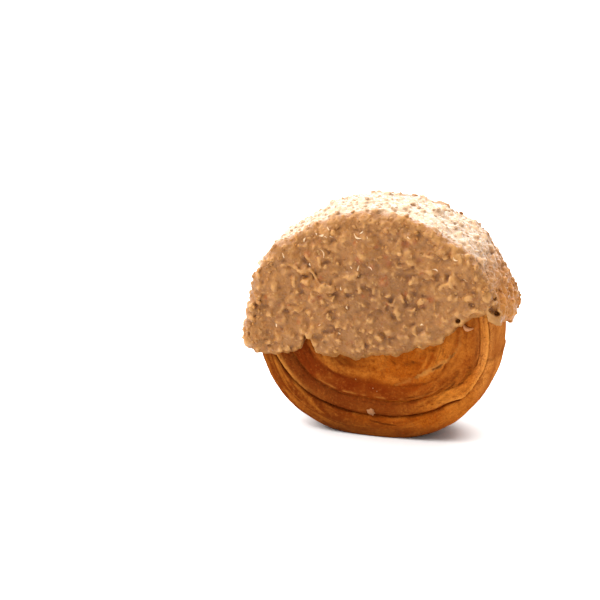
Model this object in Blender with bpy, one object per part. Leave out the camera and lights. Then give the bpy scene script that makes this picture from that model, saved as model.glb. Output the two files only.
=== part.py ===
"""A New York roll: a thick disc of croissant dough rolled into a spiral and baked in a ring.

It stands on its rim, and its upper part is dipped in a praline coat full of chopped nuts.
Metres, +Z up. The front face looks along -Y. The origin is on the ground, in the flat spot that it
rests on, below the middle of the whole. Everything is shaped round x = y = 0 and then moved there.

A place on the disc is given by phi, the angle round it from straight down towards +X, and by a
station: 0 is the middle of the rim, 1 where the rim starts to round, 2 the face's edge and 3 the
face's middle. Stations of the front face are below 0, and of the back face above it.
"""

import math
import random

import bmesh
import bpy
from mathutils import Euler, Matrix, Vector, noise

# The baked disc, in metres.
ROLL_WIDTH = 0.1054
ROLL_HEIGHT = 0.0989
ROLL_THICKNESS = 0.0364
OUTLINE_POWER = 2.16  # 2 is an ellipse, and more is squarer
LOWER_SQUARENESS = 0.12  # the lower half is squarer by this, and the upper half rounder
UNEVENNESS = 0.0006
SAG = 0.0020  # how far the rim is pressed flat where it stands
EDGE_RADIUS = 0.0065
FACE_DOME = 0.0012
RIM_BULGE = 0.0008

# The spiral. Radii are shares of the disc's own radius.
LAYER = 0.147
NARROWING = 0.36  # the share of a layer's width that it loses on the way to NARROW_ANGLE
NARROW_ANGLE = math.radians(100)
OUTER_GROOVE = 0.75  # where the outermost groove lies, straight below the middle
SPIRAL_SHIFT = 0.18  # how far the spiral's middle lies above the disc's
SPIRAL_PITCH = 0.12  # how far a groove moves out in one turn
GROOVE_DEPTHS = (0.0024, 0.0016, 0.0012, 0.0009)  # from the outermost; inside them the face is plain
GROOVE_WAVE = 0.25  # how unevenly deep a groove is
# The depth from a groove outwards to the next: (share of the way, share of the groove's depth).
LAYER_PROFILE = ((0.0, 1.0), (0.2, 0.5), (0.55, 0.12), (0.86, 0.0))
OUTER_PROFILE = (0.45, 0.20, 0.08)  # from the outermost groove to the face's edge
COVERED_ANGLE = math.radians(120)  # beyond it, under the coat, the grooves close on themselves
STRIP_END = math.radians(81)  # where the dough strip ends on the rim
STRIP_STEP = 0.0011
STRIP_FADE = math.radians(30)

# The coat, in metres.
COAT_THICKNESS = 0.0034
FACE_LIP = 0.0018  # its thickness right at the drip line, on a face
RIM_LIP = 0.0034  # and on the rim
LIP_REACH = 0.006
COAT_LUMP = 0.0010
LUMP_SPACING = 0.010
COAT_GAP = 0.0005  # clear of the dough, so that the two solids don't touch
SIDE_BLEND = 0.014  # over this depth the front's drip line turns into the back's
BLOCK_BOTTOM = -0.02

# Where the coat's rim bulges or is hollow, as (phi in degrees, extra thickness, reach in degrees).
COAT_BULGES = (
    (-165, -0.0008, 12),
    (-144, -0.0014, 12),
    (-128, 0.0010, 9),
    (-84, 0.0022, 18),
    (104, 0.0008, 14),
    (133, 0.0009, 8),
    (155, 0.0007, 8),
    (171, 0.0007, 10),
)

# The drip lines, as (x, height above the disc's middle).
FRONT_DRIP = (
    (-0.0620, -0.0110),
    (-0.0540, -0.0120),
    (-0.0450, -0.0135),
    (-0.0370, -0.0120),
    (-0.0318, -0.0100),
    (-0.0288, -0.0045),
    (-0.0268, -0.0048),
    (-0.0240, -0.0104),
    (-0.0203, -0.0116),
    (-0.0134, -0.0105),
    (-0.0055, -0.0120),
    (0.0010, -0.0090),
    (0.0110, -0.0086),
    (0.0162, -0.0068),
    (0.0213, -0.0041),
    (0.0305, -0.0018),
    (0.0330, 0.0020),
    (0.0387, 0.0064),
    (0.0450, 0.0100),
    (0.0500, 0.0120),
    (0.0535, 0.0050),
    (0.0580, 0.0022),
    (0.0620, 0.0022),
)
BACK_DRIP = (
    (-0.0620, -0.0110),
    (-0.0540, -0.0115),
    (-0.0460, -0.0090),
    (-0.0390, -0.0125),
    (-0.0300, -0.0140),
    (-0.0220, -0.0110),
    (-0.0120, -0.0135),
    (-0.0020, -0.0100),
    (0.0080, -0.0115),
    (0.0160, -0.0070),
    (0.0240, -0.0080),
    (0.0330, -0.0030),
    (0.0420, -0.0010),
    (0.0500, 0.0035),
    (0.0580, 0.0022),
    (0.0620, 0.0022),
)

# The chopped nuts that stand out of the coat.
NUT_COUNT = 92
NUT_SIZE = (0.0036, 0.0068)
NUT_SPACING = 0.0068
NUT_FLATNESS = (0.55, 0.85)
NUT_NARROWNESS = (0.65, 0.95)
NUT_JITTER = 0.14
NUT_TILT = 0.5
NUT_RISE = 0.02  # how far a nut's middle stands off the coat, as a share of its size
NUT_CLEAR_OF_DRIP = 0.004
RIM_NUTS = 0.5  # the share of the nuts that lie on the rim
SEED = 7

# How finely the surfaces are cut up.
DOUGH_COLUMNS = 76
COAT_COLUMNS = 64
INNER_COLUMNS = 48
LOWER_SHARE = 0.60  # the share of the columns in the lower half
FACE_STEPS = 9
EDGE_STEPS = 3
BLOCK_COLUMNS = 62
BLOCK_ROWS = 8

HALF_WIDTH = ROLL_WIDTH / 2
HALF_HEIGHT = ROLL_HEIGHT / 2
HALF_THICKNESS = ROLL_THICKNESS / 2
MIDDLE_HEIGHT = HALF_HEIGHT - SAG
WIDEST_GROOVE = 1 - LAYER * (1 - LAYER_PROFILE[-1][0])


def smooth_step(x):
    x = min(max(x, 0.0), 1.0)
    return x * x * (3 - 2 * x)


def outline_radius(phi):
    """The disc's radius towards phi."""
    power = OUTLINE_POWER + LOWER_SQUARENESS * math.cos(phi)
    across = abs(math.sin(phi)) / HALF_WIDTH
    up = abs(math.cos(phi)) / HALF_HEIGHT
    uneven = noise.noise(Vector((math.sin(phi), math.cos(phi), 0)) * 2)
    return (across**power + up**power) ** (-1 / power) + UNEVENNESS * uneven


def surface_point(phi, station, lift=0.0):
    """A point of the smooth disc, or at a height above its surface."""
    side = math.copysign(1, station)
    part = abs(station)
    outer = outline_radius(phi)
    if part <= 1:
        tilt = math.pi / 2
        radius = outer + RIM_BULGE * (1 - part * part)
        out = part * (HALF_THICKNESS - EDGE_RADIUS)
    elif part <= 2:
        tilt = (2 - part) * math.pi / 2
        radius = outer - EDGE_RADIUS * (1 - math.sin(tilt))
        out = HALF_THICKNESS - EDGE_RADIUS * (1 - math.cos(tilt))
    else:
        tilt = 0.0
        share = 3 - part
        radius = share * (outer - EDGE_RADIUS)
        out = HALF_THICKNESS + FACE_DOME * (1 - share * share)
    radius += lift * math.sin(tilt)
    out += lift * math.cos(tilt)
    height = MIDDLE_HEIGHT - radius * math.cos(phi)
    return Vector((radius * math.sin(phi), side * out, max(height, 0.0)))


def wrapped_mesh(name, columns, rings_at):
    """A closed mesh round the disc: a ball's columns and rings, laid where rings_at(phi) says.

    rings_at gives a list of (station, lift) from the front's middle to the back's, both included.
    """
    steps = len(rings_at(0.0)) - 1
    mesh = bpy.data.meshes.new(name)
    bm = bmesh.new()
    bmesh.ops.create_uvsphere(bm, u_segments=columns, v_segments=steps, radius=1)
    for vertex in bm.verts:
        ring = round(math.acos(max(-1.0, min(1.0, -vertex.co.z))) / math.pi * steps)
        phi = crowded(math.atan2(vertex.co.y, vertex.co.x)) if 0 < ring < steps else 0.0
        vertex.co = surface_point(phi, *rings_at(phi)[ring])
    if bm.calc_volume(signed=True) < 0:
        bmesh.ops.reverse_faces(bm, faces=bm.faces)
    bm.to_mesh(mesh)
    bm.free()
    return mesh


def crowded(turn):
    """Turns an even angle into one that puts more columns in the lower half."""
    return turn + (2 * LOWER_SHARE - 1) * -math.sin(turn)


def folded(phi):
    """An angle that runs back to 0 under the coat, so that each ring of the spiral closes."""
    if abs(phi) <= COVERED_ANGLE:
        return phi
    back = (math.pi - abs(phi)) / (math.pi - COVERED_ANGLE)
    return math.copysign(COVERED_ANGLE * back, phi)


def strip_step(phi):
    """How much lower the rim is past the dough strip's end, where the layer below it shows."""
    past = smooth_step((phi - STRIP_END) / math.radians(4) + 0.5)
    return STRIP_STEP * past * (1 - smooth_step((phi - STRIP_END) / STRIP_FADE))


def dough_rings(phi):
    """The dough's rings at phi: they follow the spiral's grooves, so that each groove is sharp."""
    outer = outline_radius(phi)
    reach = outer - EDGE_RADIUS
    turned = folded(phi)
    layer = LAYER * (1 - NARROWING * smooth_step(turned / NARROW_ANGLE)) * outer / reach
    groove = OUTER_GROOVE + SPIRAL_SHIFT * (1 - math.cos(phi)) + SPIRAL_PITCH * turned / math.tau
    groove = min(groove * outer / reach, WIDEST_GROOVE)
    wave = 1 + GROOVE_WAVE * noise.noise(Vector((math.sin(phi), math.cos(phi), 0)) * 3)
    front = [(0.0, 0.0)]
    for count in range(len(GROOVE_DEPTHS) - 1, 0, -1):
        for part, share in LAYER_PROFILE:
            front.append((groove - (count - part) * layer, GROOVE_DEPTHS[count] * share))
    front.append((groove, GROOVE_DEPTHS[0]))
    for count, share in enumerate(OUTER_PROFILE):
        part = (count + 1) / len(OUTER_PROFILE)
        front.append((groove + (1 - groove) * part, GROOVE_DEPTHS[0] * share))
    rings = [(3 - place, -wave * depth) for place, depth in front]
    step = strip_step(phi)
    rings += [(2 - (n + 1) / EDGE_STEPS, -step) for n in range(EDGE_STEPS)]
    rings.append((0.35, -step))
    return [(-place, lift) for place, lift in rings] + [
        (place, lift) for place, lift in reversed(rings)
    ]


def plain_stations(face_steps):
    half = [3 - n / face_steps for n in range(face_steps + 1)]
    half += [2 - (n + 1) / EDGE_STEPS for n in range(EDGE_STEPS)]
    half.append(0.35)
    return [-place for place in half] + list(reversed(half))


def value_along(line, x):
    """The value at x of a line given by its points, rounded between them."""
    for (left, low), (right, high) in zip(line, line[1:]):
        if x <= right:
            return low + (high - low) * smooth_step((x - left) / (right - left))
    return line[-1][1]


def drip_height(x, y):
    share = smooth_step(y / SIDE_BLEND + 0.5)
    front = value_along(FRONT_DRIP, x)
    back = value_along(BACK_DRIP, x)
    return MIDDLE_HEIGHT + front + (back - front) * share


def bulge(phi):
    total = 0.0
    for middle, extra, reach in COAT_BULGES:
        total += extra * smooth_step(1 - abs(math.degrees(phi) - middle) / reach)
    return total


def coat_lift(phi, station):
    """How far the coat's outside stands off the disc."""
    point = surface_point(phi, station)
    on_rim = smooth_step(3 - abs(station))
    above = smooth_step((point.z - drip_height(point.x, point.y)) / LIP_REACH)
    full = COAT_THICKNESS + bulge(phi) * on_rim
    lip = FACE_LIP + (RIM_LIP - FACE_LIP) * on_rim
    lump = COAT_LUMP * noise.noise(point / LUMP_SPACING)
    return lip + (full + lump - lip) * above


def coat_rings(phi):
    return [(station, coat_lift(phi, station)) for station in plain_stations(FACE_STEPS)]


def inner_rings(phi):
    return [(station, COAT_GAP) for station in plain_stations(face_steps=3)]


def material(name, colour, roughness):
    made = bpy.data.materials.new(name)
    made.use_nodes = True
    shader = made.node_tree.nodes["Principled BSDF"]
    shader.inputs["Base Color"].default_value = (*colour, 1.0)
    shader.inputs["Roughness"].default_value = roughness
    shader.inputs["Metallic"].default_value = 0.0
    return made


def new_object(mesh, name, collection, finish=None):
    thing = bpy.data.objects.new(name, mesh)
    if finish:
        mesh.materials.append(finish)
    mesh.shade_smooth()
    collection.objects.link(thing)
    return thing


def new_collection(name, hidden=False):
    made = bpy.data.collections.new(name)
    bpy.context.scene.collection.children.link(made)
    made.hide_render = hidden
    return made


def as_cutter(thing):
    thing.hide_render = True
    thing.display_type = "WIRE"
    return thing


def drip_block(collection):
    """A block whose wavy top is the drip line: what lies in it isn't coated."""
    mesh = bpy.data.meshes.new("below_drip_line")
    bm = bmesh.new()
    bmesh.ops.create_grid(bm, x_segments=BLOCK_COLUMNS, y_segments=BLOCK_ROWS, size=1)
    for vertex in bm.verts:
        x = vertex.co.x * (HALF_WIDTH + 0.010)
        y = vertex.co.y * (HALF_THICKNESS + 0.010)
        vertex.co = (x, y, drip_height(x, y))
    grown = bmesh.ops.extrude_face_region(bm, geom=bm.faces[:])
    for item in grown["geom"]:
        if isinstance(item, bmesh.types.BMVert):
            item.co.z = BLOCK_BOTTOM
    bmesh.ops.recalc_face_normals(bm, faces=bm.faces)
    bm.to_mesh(mesh)
    bm.free()
    return as_cutter(new_object(mesh, "below_drip_line", collection))


def nut_places(draw):
    """Evenly spread places on the coated part, as (phi, station)."""
    places = []
    points = []
    while len(places) < NUT_COUNT:
        phi = draw.uniform(-math.pi, math.pi)
        side = draw.choice((-1, 1))
        if draw.random() < RIM_NUTS:
            station = side * draw.uniform(0, 2)
        else:
            station = side * (3 - math.sqrt(draw.random()))
        point = surface_point(phi, station)
        low = point.z - drip_height(point.x, point.y) < NUT_CLEAR_OF_DRIP
        if low or any((point - other).length < NUT_SPACING for other in points):
            continue
        places.append((phi, station))
        points.append(point)
    return places


def add_nuts(collection):
    """Chopped nuts: knobbly twenty-sided chips, half sunk in the coat."""
    draw = random.Random(SEED)
    for number, (phi, station) in enumerate(nut_places(draw)):
        mesh = bpy.data.meshes.new(f"nut_{number}")
        size = draw.uniform(*NUT_SIZE)
        narrow = draw.uniform(*NUT_NARROWNESS)
        flat = draw.uniform(*NUT_FLATNESS)
        bm = bmesh.new()
        bmesh.ops.create_icosphere(bm, subdivisions=1, radius=size / 2)
        for vertex in bm.verts:
            knob = 1 + draw.uniform(-NUT_JITTER, NUT_JITTER)
            vertex.co = vertex.co * Vector((1, narrow, flat)) * knob
        bm.to_mesh(mesh)
        bm.free()
        nut = new_object(mesh, f"nut_{number}", collection)
        lean = [draw.uniform(-NUT_TILT, NUT_TILT), draw.uniform(-NUT_TILT, NUT_TILT)]
        spin = Euler((*lean, draw.uniform(0, math.tau)), "ZXY").to_matrix()
        place = surface_point(phi, station, coat_lift(phi, station) + NUT_RISE * size)
        outward = (place - surface_point(phi, station)).to_track_quat("Z", "X").to_matrix()
        nut.matrix_world = Matrix.Translation(place) @ (outward @ spin).to_4x4()


def boolean(thing, name, operation, cutter=None, collection=None):
    step = thing.modifiers.new(name, "BOOLEAN")
    step.operation = operation
    step.solver = "EXACT"
    if collection:
        step.operand_type = "COLLECTION"
        step.collection = collection
    else:
        step.object = cutter
    return step


def apply_modifiers(thing):
    bpy.context.view_layer.update()
    graph = bpy.context.evaluated_depsgraph_get()
    made = bpy.data.meshes.new_from_object(thing.evaluated_get(graph))
    thing.modifiers.clear()
    thing.data = made


def make_dough(collection):
    crust = material("baked_crust", (0.56, 0.25, 0.07), 0.4)
    mesh = wrapped_mesh("dough_roll", DOUGH_COLUMNS, dough_rings)
    return new_object(mesh, "dough_roll", collection, crust)


def make_coat(collection, cutters):
    praline = material("praline_coat", (0.50, 0.31, 0.15), 0.45)
    coat = new_object(wrapped_mesh("nut_coat", COAT_COLUMNS, coat_rings), "nut_coat", collection, praline)
    nuts = new_collection("chopped_nuts")
    add_nuts(nuts)
    boolean(coat, "nuts", "UNION", collection=nuts)
    apply_modifiers(coat)
    for nut in list(nuts.objects):
        bpy.data.objects.remove(nut, do_unlink=True)
    bpy.data.collections.remove(nuts)
    inner = as_cutter(new_object(wrapped_mesh("inner", INNER_COLUMNS, inner_rings), "inner", cutters))
    boolean(coat, "dough", "DIFFERENCE", cutter=inner)
    boolean(coat, "drip_line", "DIFFERENCE", cutter=drip_block(cutters))
    return coat


def middle_of(things):
    """The middle of the box round some objects, as their modifiers leave them."""
    bpy.context.view_layer.update()
    graph = bpy.context.evaluated_depsgraph_get()
    corners = []
    for thing in things:
        done = thing.evaluated_get(graph)
        corners += [done.matrix_world @ Vector(corner) for corner in done.bound_box]
    low = Vector([min(corner[axis] for corner in corners) for axis in range(3)])
    high = Vector([max(corner[axis] for corner in corners) for axis in range(3)])
    return (low + high) / 2


def main():
    for item in list(bpy.data.objects):
        bpy.data.objects.remove(item, do_unlink=True)
    roll = new_collection("new_york_roll")
    cutters = new_collection("cutters")
    pieces = [make_dough(roll), make_coat(roll, cutters)]
    middle = middle_of(pieces)
    for thing in pieces + list(cutters.objects):
        thing.location -= Vector((middle.x, middle.y, 0))


main()
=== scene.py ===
"""The looks of a New York roll: a baked spiral of croissant dough with its upper part in praline.

Lengths are metres, +Z is up and the front face looks along -Y. The roll is shaped round x = y = 0 and
then moved to the frame's place. phi is the angle round it from straight down towards +X. A station says
how far across it a place lies: 0 is the middle of the rim, 1 where the rim starts to round, 2 the face's
edge and 3 the face's middle, below 0 on the front and above it on the back.
"""

import math

import bpy
import numpy as np
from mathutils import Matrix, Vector, noise


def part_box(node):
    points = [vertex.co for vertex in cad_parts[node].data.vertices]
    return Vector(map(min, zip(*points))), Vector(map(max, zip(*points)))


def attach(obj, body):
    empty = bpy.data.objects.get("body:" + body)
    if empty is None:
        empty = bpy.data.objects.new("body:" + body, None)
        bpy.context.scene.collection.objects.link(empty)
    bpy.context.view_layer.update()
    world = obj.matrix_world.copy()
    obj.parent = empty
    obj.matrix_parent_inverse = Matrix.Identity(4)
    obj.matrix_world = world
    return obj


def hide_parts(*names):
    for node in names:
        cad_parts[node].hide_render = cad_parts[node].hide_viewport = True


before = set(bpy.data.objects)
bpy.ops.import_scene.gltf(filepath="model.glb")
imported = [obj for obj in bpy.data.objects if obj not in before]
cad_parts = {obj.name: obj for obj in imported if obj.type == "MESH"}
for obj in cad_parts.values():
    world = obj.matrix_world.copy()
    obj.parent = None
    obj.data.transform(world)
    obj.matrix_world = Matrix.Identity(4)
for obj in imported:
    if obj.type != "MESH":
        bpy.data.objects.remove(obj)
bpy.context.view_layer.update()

MM = 0.001
FORWARDS = np.array([0, -1.0, 0])

# The bare disc, as in the frame's solids.
HALF_WIDTH = 52.7 * MM
HALF_HEIGHT = 49.45 * MM
HALF_THICKNESS = 18.2 * MM
OUTLINE_POWER = 2.16
LOWER_SQUARENESS = 0.12
UNEVENNESS = 0.6 * MM
SAG = 2.0 * MM
EDGE_RADIUS = 6.5 * MM
FACE_DOME = 1.2 * MM
RIM_BULGE = 0.8 * MM
MIDDLE_HEIGHT = HALF_HEIGHT - SAG
DISC_OFF_BOX = 0.39 * MM  # how far the disc's middle lies to the right of its box's

# The spiral, in shares of the disc's radius.
LAYER = 0.147
NARROWING = 0.36
NARROW_ANGLE = math.radians(100)
OUTER_GROOVE = 0.75
SPIRAL_SHIFT = 0.18
SPIRAL_PITCH = 0.12
GROOVE_DEPTHS = (2.4 * MM, 1.6 * MM, 1.2 * MM, 0.9 * MM)
WALL_START = 0.86  # where, on the way out across a layer, it drops to the next groove
WIDEST_GROOVE = 1 - LAYER * (1 - WALL_START)
GROOVE_OVER_EDGE = 0.46  # how far, in stations, the outermost groove runs onto the rounded edge on the right
NARROW_STRIP = (47, 142)  # the degrees between which it does so
COVERED_ANGLE = math.radians(120)
STRIP_END = math.radians(81)
STRIP_STEP = 0.7 * MM
STRIP_FADE = math.radians(30)

# The coat.
COAT_THICKNESS = 3.2 * MM
FACE_LIP = 2.3 * MM
RIM_LIP = 3.2 * MM
LIP_REACH = 5 * MM
SIDE_BLEND = 14 * MM
# Where the coat swells or thins on the rim: degrees round the disc, mm, and how many degrees it reaches.
COAT_BULGES = (
    (-165, -0.8, 12), (-144, -1.4, 12), (-128, 1.0, 9), (-84, 2.0, 18), (104, 0.8, 14), (133, 0.9, 8),
    (155, 0.7, 8), (171, 0.7, 10),
)
# The coat's lower edge on each face, as (x, height above the middle) in mm.
FRONT_DRIP = (
    (-62.0, -11.0), (-54.0, -12.0), (-45.0, -13.5), (-37.0, -12.0), (-31.8, -10.0), (-28.8, -4.5),
    (-26.8, -4.8), (-24.0, -10.4), (-20.3, -11.6), (-13.4, -10.5), (-5.5, -12.0), (1.0, -9.0), (11.0, -8.6),
    (16.2, -6.8), (21.3, -4.1), (30.5, -1.8), (33.0, 2.0), (38.7, 6.8), (42.7, 10.2), (46.5, 12.0),
    (49.2, 13.0), (50.6, 9.8), (54.0, 7.9), (58.0, 5.6), (62.0, 5.6),
)
BACK_DRIP = (
    (-62.0, -11.0), (-54.0, -11.5), (-46.0, -9.0), (-39.0, -12.5), (-30.0, -14.0), (-22.0, -11.0),
    (-12.0, -13.5), (-2.0, -10.0), (8.0, -11.5), (16.0, -7.0), (24.0, -8.0), (33.0, -3.0), (42.0, -1.0),
    (50.0, 3.5), (58.0, 2.2), (62.0, 2.2),
)


# ---------------------------------------------------------------- shared shapes and noise


def smooth(x):
    x = np.clip(x, 0, 1)
    return x * x * (3 - 2 * x)


def hump(x):
    """1 at 0, falling smoothly to 0 at -1 and 1."""
    return smooth(1 - np.abs(x))


class Noise:
    """Gradient noise over points, from about -1 to 1."""

    GAIN = 1.8

    def __init__(self, seed):
        draw = np.random.default_rng(seed)
        self.order = np.tile(draw.permutation(256), 3).astype(np.int32)
        ways = draw.normal(size=(256, 3))
        ways = (ways / np.linalg.norm(ways, axis=1)[:, None]).astype(np.float32)
        self.ways = np.tile(ways, (3, 1))

    def __call__(self, points, size):
        total = 0
        cells, parts, eases = [], [], []
        for axis in range(3):
            scaled = np.asarray(points)[..., axis] / size
            cell = np.floor(scaled)
            part = (scaled - cell).astype(np.float32)
            cells.append(cell.astype(np.int32) & 255)
            parts.append(part)
            eases.append(part**3 * (part * (part * 6 - 15) + 10))
        for i in (0, 1):
            first = self.order[cells[0] + i]
            for j in (0, 1):
                second = self.order[first + cells[1] + j]
                across = (eases[0] if i else 1 - eases[0]) * (eases[1] if j else 1 - eases[1])
                for k in (0, 1):
                    key = self.order[second + cells[2] + k]
                    bits = enumerate((i, j, k))
                    slope = sum(self.ways[key, axis] * (parts[axis] - bit) for axis, bit in bits)
                    total = total + across * (eases[2] if k else 1 - eases[2]) * slope
        return total * self.GAIN


def outline_table():
    """The disc's radius for angles all round, with the same unevenness as its solid."""
    angles = np.linspace(-math.pi, math.pi, 721)
    radii = []
    for phi in angles:
        power = OUTLINE_POWER + LOWER_SQUARENESS * math.cos(phi)
        across = abs(math.sin(phi)) / HALF_WIDTH
        up = abs(math.cos(phi)) / HALF_HEIGHT
        uneven = noise.noise(Vector((math.sin(phi), math.cos(phi), 0)) * 2)
        radii.append((across**power + up**power) ** (-1 / power) + UNEVENNESS * uneven)
    return angles, np.array(radii)


ANGLES, RADII = outline_table()


def outline(phi):
    return np.interp(phi, ANGLES, RADII)


def surface_points(phi, station, lift=0.0, slide=0.0):
    """Points on the smooth disc, lifted off its surface or slid outwards along a face."""
    side = np.where(station < 0, -1, 1)
    part = np.abs(station)
    outer = outline(phi)
    tilt = np.clip(2 - part, 0, 1) * math.pi / 2
    share = np.clip(3 - part, 0, 1)
    radius = np.where(part <= 2, outer - EDGE_RADIUS * (1 - np.sin(tilt)), share * (outer - EDGE_RADIUS))
    radius = radius + RIM_BULGE * np.clip(1 - part * part, 0, 1) + slide
    out = np.where(part <= 2, HALF_THICKNESS - EDGE_RADIUS * (1 - np.cos(tilt)), HALF_THICKNESS)
    out = np.where(part <= 1, part * (HALF_THICKNESS - EDGE_RADIUS), out)
    out = out + FACE_DOME * np.where(part > 2, 1 - share * share, 0)
    radius = radius + lift * np.sin(tilt)
    out = out + lift * np.cos(tilt)
    height = MIDDLE_HEIGHT - radius * np.cos(phi)
    return np.stack([radius * np.sin(phi), side * out, np.maximum(height, 0)], axis=-1)


def disc_distance(x, y, z, grown=0.0, edge=EDGE_RADIUS):
    """The distance from the bare disc's surface, or from a grown one's, below 0 inside it."""
    height = z - MIDDLE_HEIGHT
    radius = np.hypot(x, height)
    outer = outline(np.arctan2(x, -height))
    dome = FACE_DOME * (1 - np.clip(radius / (outer - EDGE_RADIUS), 0, 1) ** 2)
    inwards = np.clip(1 - (y / (HALF_THICKNESS - EDGE_RADIUS)) ** 2, 0, 1)
    across = radius - (outer + RIM_BULGE * inwards + grown - edge)
    out = np.abs(y) - (HALF_THICKNESS + dome + grown - edge)
    outside = np.hypot(np.maximum(across, 0), np.maximum(out, 0))
    return np.minimum(np.maximum(across, out), 0) + outside - edge


def drip_height(x, y):
    """The height of the coat's lower edge, rounded between the points of its line."""

    def along(line):
        places, heights = np.array(line).T * MM
        after = np.clip(np.searchsorted(places, x), 1, len(places) - 1)
        share = smooth((x - places[after - 1]) / (places[after] - places[after - 1]))
        return heights[after - 1] + (heights[after] - heights[after - 1]) * share

    front = along(FRONT_DRIP)
    return MIDDLE_HEIGHT + front + (along(BACK_DRIP) - front) * smooth(y / SIDE_BLEND + 0.5)


def place_in_frame():
    """Where the disc's middle lies on the ground in the frame."""
    low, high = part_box("dough_roll")
    return np.array([(low[0] + high[0]) / 2 + DISC_OFF_BOX, (low[1] + high[1]) / 2, 0])


PLACE = place_in_frame()


def put(name, data):
    """A new object in the scene."""
    made = bpy.data.objects.new(name, data)
    bpy.context.scene.collection.objects.link(made)
    return made


def new_piece(name, points, faces, finish, looks):
    """A piece from points round the disc's own middle. It rides on the part's one body."""
    mesh = bpy.data.meshes.new(name)
    mesh.from_pydata((np.asarray(points) + PLACE).tolist(), [], [list(face) for face in faces])
    for key, values in looks.items():
        made = mesh.attributes.new(key, "FLOAT", "POINT")
        made.data.foreach_set("value", np.asarray(values, dtype=np.float32))
    mesh.materials.append(finish)
    mesh.shade_smooth()
    mesh.update()
    piece = put(name, mesh)
    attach(piece, "root")
    return piece


def quads_between(rows, columns, first=0):
    """The faces between rows of points, each row a closed ring."""
    faces = []
    for row in range(rows - 1):
        low = first + row * columns
        high = low + columns
        for column in range(columns):
            beside = (column + 1) % columns
            faces.append((low + column, low + beside, high + beside, high + column))
    return faces


# ---------------------------------------------------------------- the baked dough

COLUMNS = 400
LOWER_SHARE = 0.66  # the share of the columns in the lower, bare half
LAYER_STEPS = (0.04, 0.09, 0.15, 0.22, 0.30, 0.39, 0.48, 0.56, 0.64, 0.71, 0.77, 0.82, 0.86)
LAYER_STEPS += (0.895, 0.925, 0.95, 0.97, 0.985, 1.0)
KEPT_AT_BOTTOM = (1.0, 0.5, 0.12, 0.2)  # how much of each groove's depth is left at the bottom
LOST_AT_SIDES = (0.3, 0.3, 0.75, 0.75)  # how much of it goes at the sides
# What the crust's finish reads: how flaky a place is, how far out it lies, how much it is a pale ridge, bare
# crumb or painted shade in a slit or crease, how many layers it lies inwards and how deep it lies.
CRUST_LOOKS = ("flaky", "across", "ridge", "crumb", "crease_shade", "turn", "depth")
CENTRE_STEPS = 14
BAND_STEPS = 17
EDGE_STEPS = 11
RIM_STEPS = 9


def folded(phi):
    """An angle that runs back to 0 under the coat, so that each ring of the spiral closes."""
    back = (math.pi - np.abs(phi)) / (math.pi - COVERED_ANGLE) * COVERED_ANGLE
    return np.sign(phi) * np.minimum(np.abs(phi), back)


def round_points(phi, level=0.0):
    """Points on a circle of radius 1, where noise is read for a ring of the face."""
    return np.stack([np.sin(phi), np.cos(phi), 0 * phi + level], axis=1)


def groove_places(phi, wobble):
    """The grooves' places as shares of a face's radius, from the outermost, with the face's middle last."""
    outer = outline(phi)
    reach = outer - EDGE_RADIUS
    turned = folded(phi)
    layer = LAYER * (1 - NARROWING * smooth(turned / NARROW_ANGLE)) * outer / reach
    first = OUTER_GROOVE + SPIRAL_SHIFT * (1 - np.cos(phi)) + SPIRAL_PITCH * turned / math.tau
    first = np.minimum(first * outer / reach, WIDEST_GROOVE)
    ring = round_points(phi)
    places = []
    for number in range(len(GROOVE_DEPTHS)):
        shift = 0.010 * wobble(ring + number * 7.3, 0.28) + 0.004 * wobble(ring + number * 3.1, 0.09)
        places.append(first - number * layer + shift * (1 if number else 0.6))
    return places + [0 * phi]


def over_edge(phi):
    """How far the face's rings reach onto the rounded edge: on the right the outermost strip is narrow."""
    degrees = np.degrees(phi)
    start, end = NARROW_STRIP
    return GROOVE_OVER_EDGE * smooth((degrees - start) / 41) * smooth((end - degrees) / 28)


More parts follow.
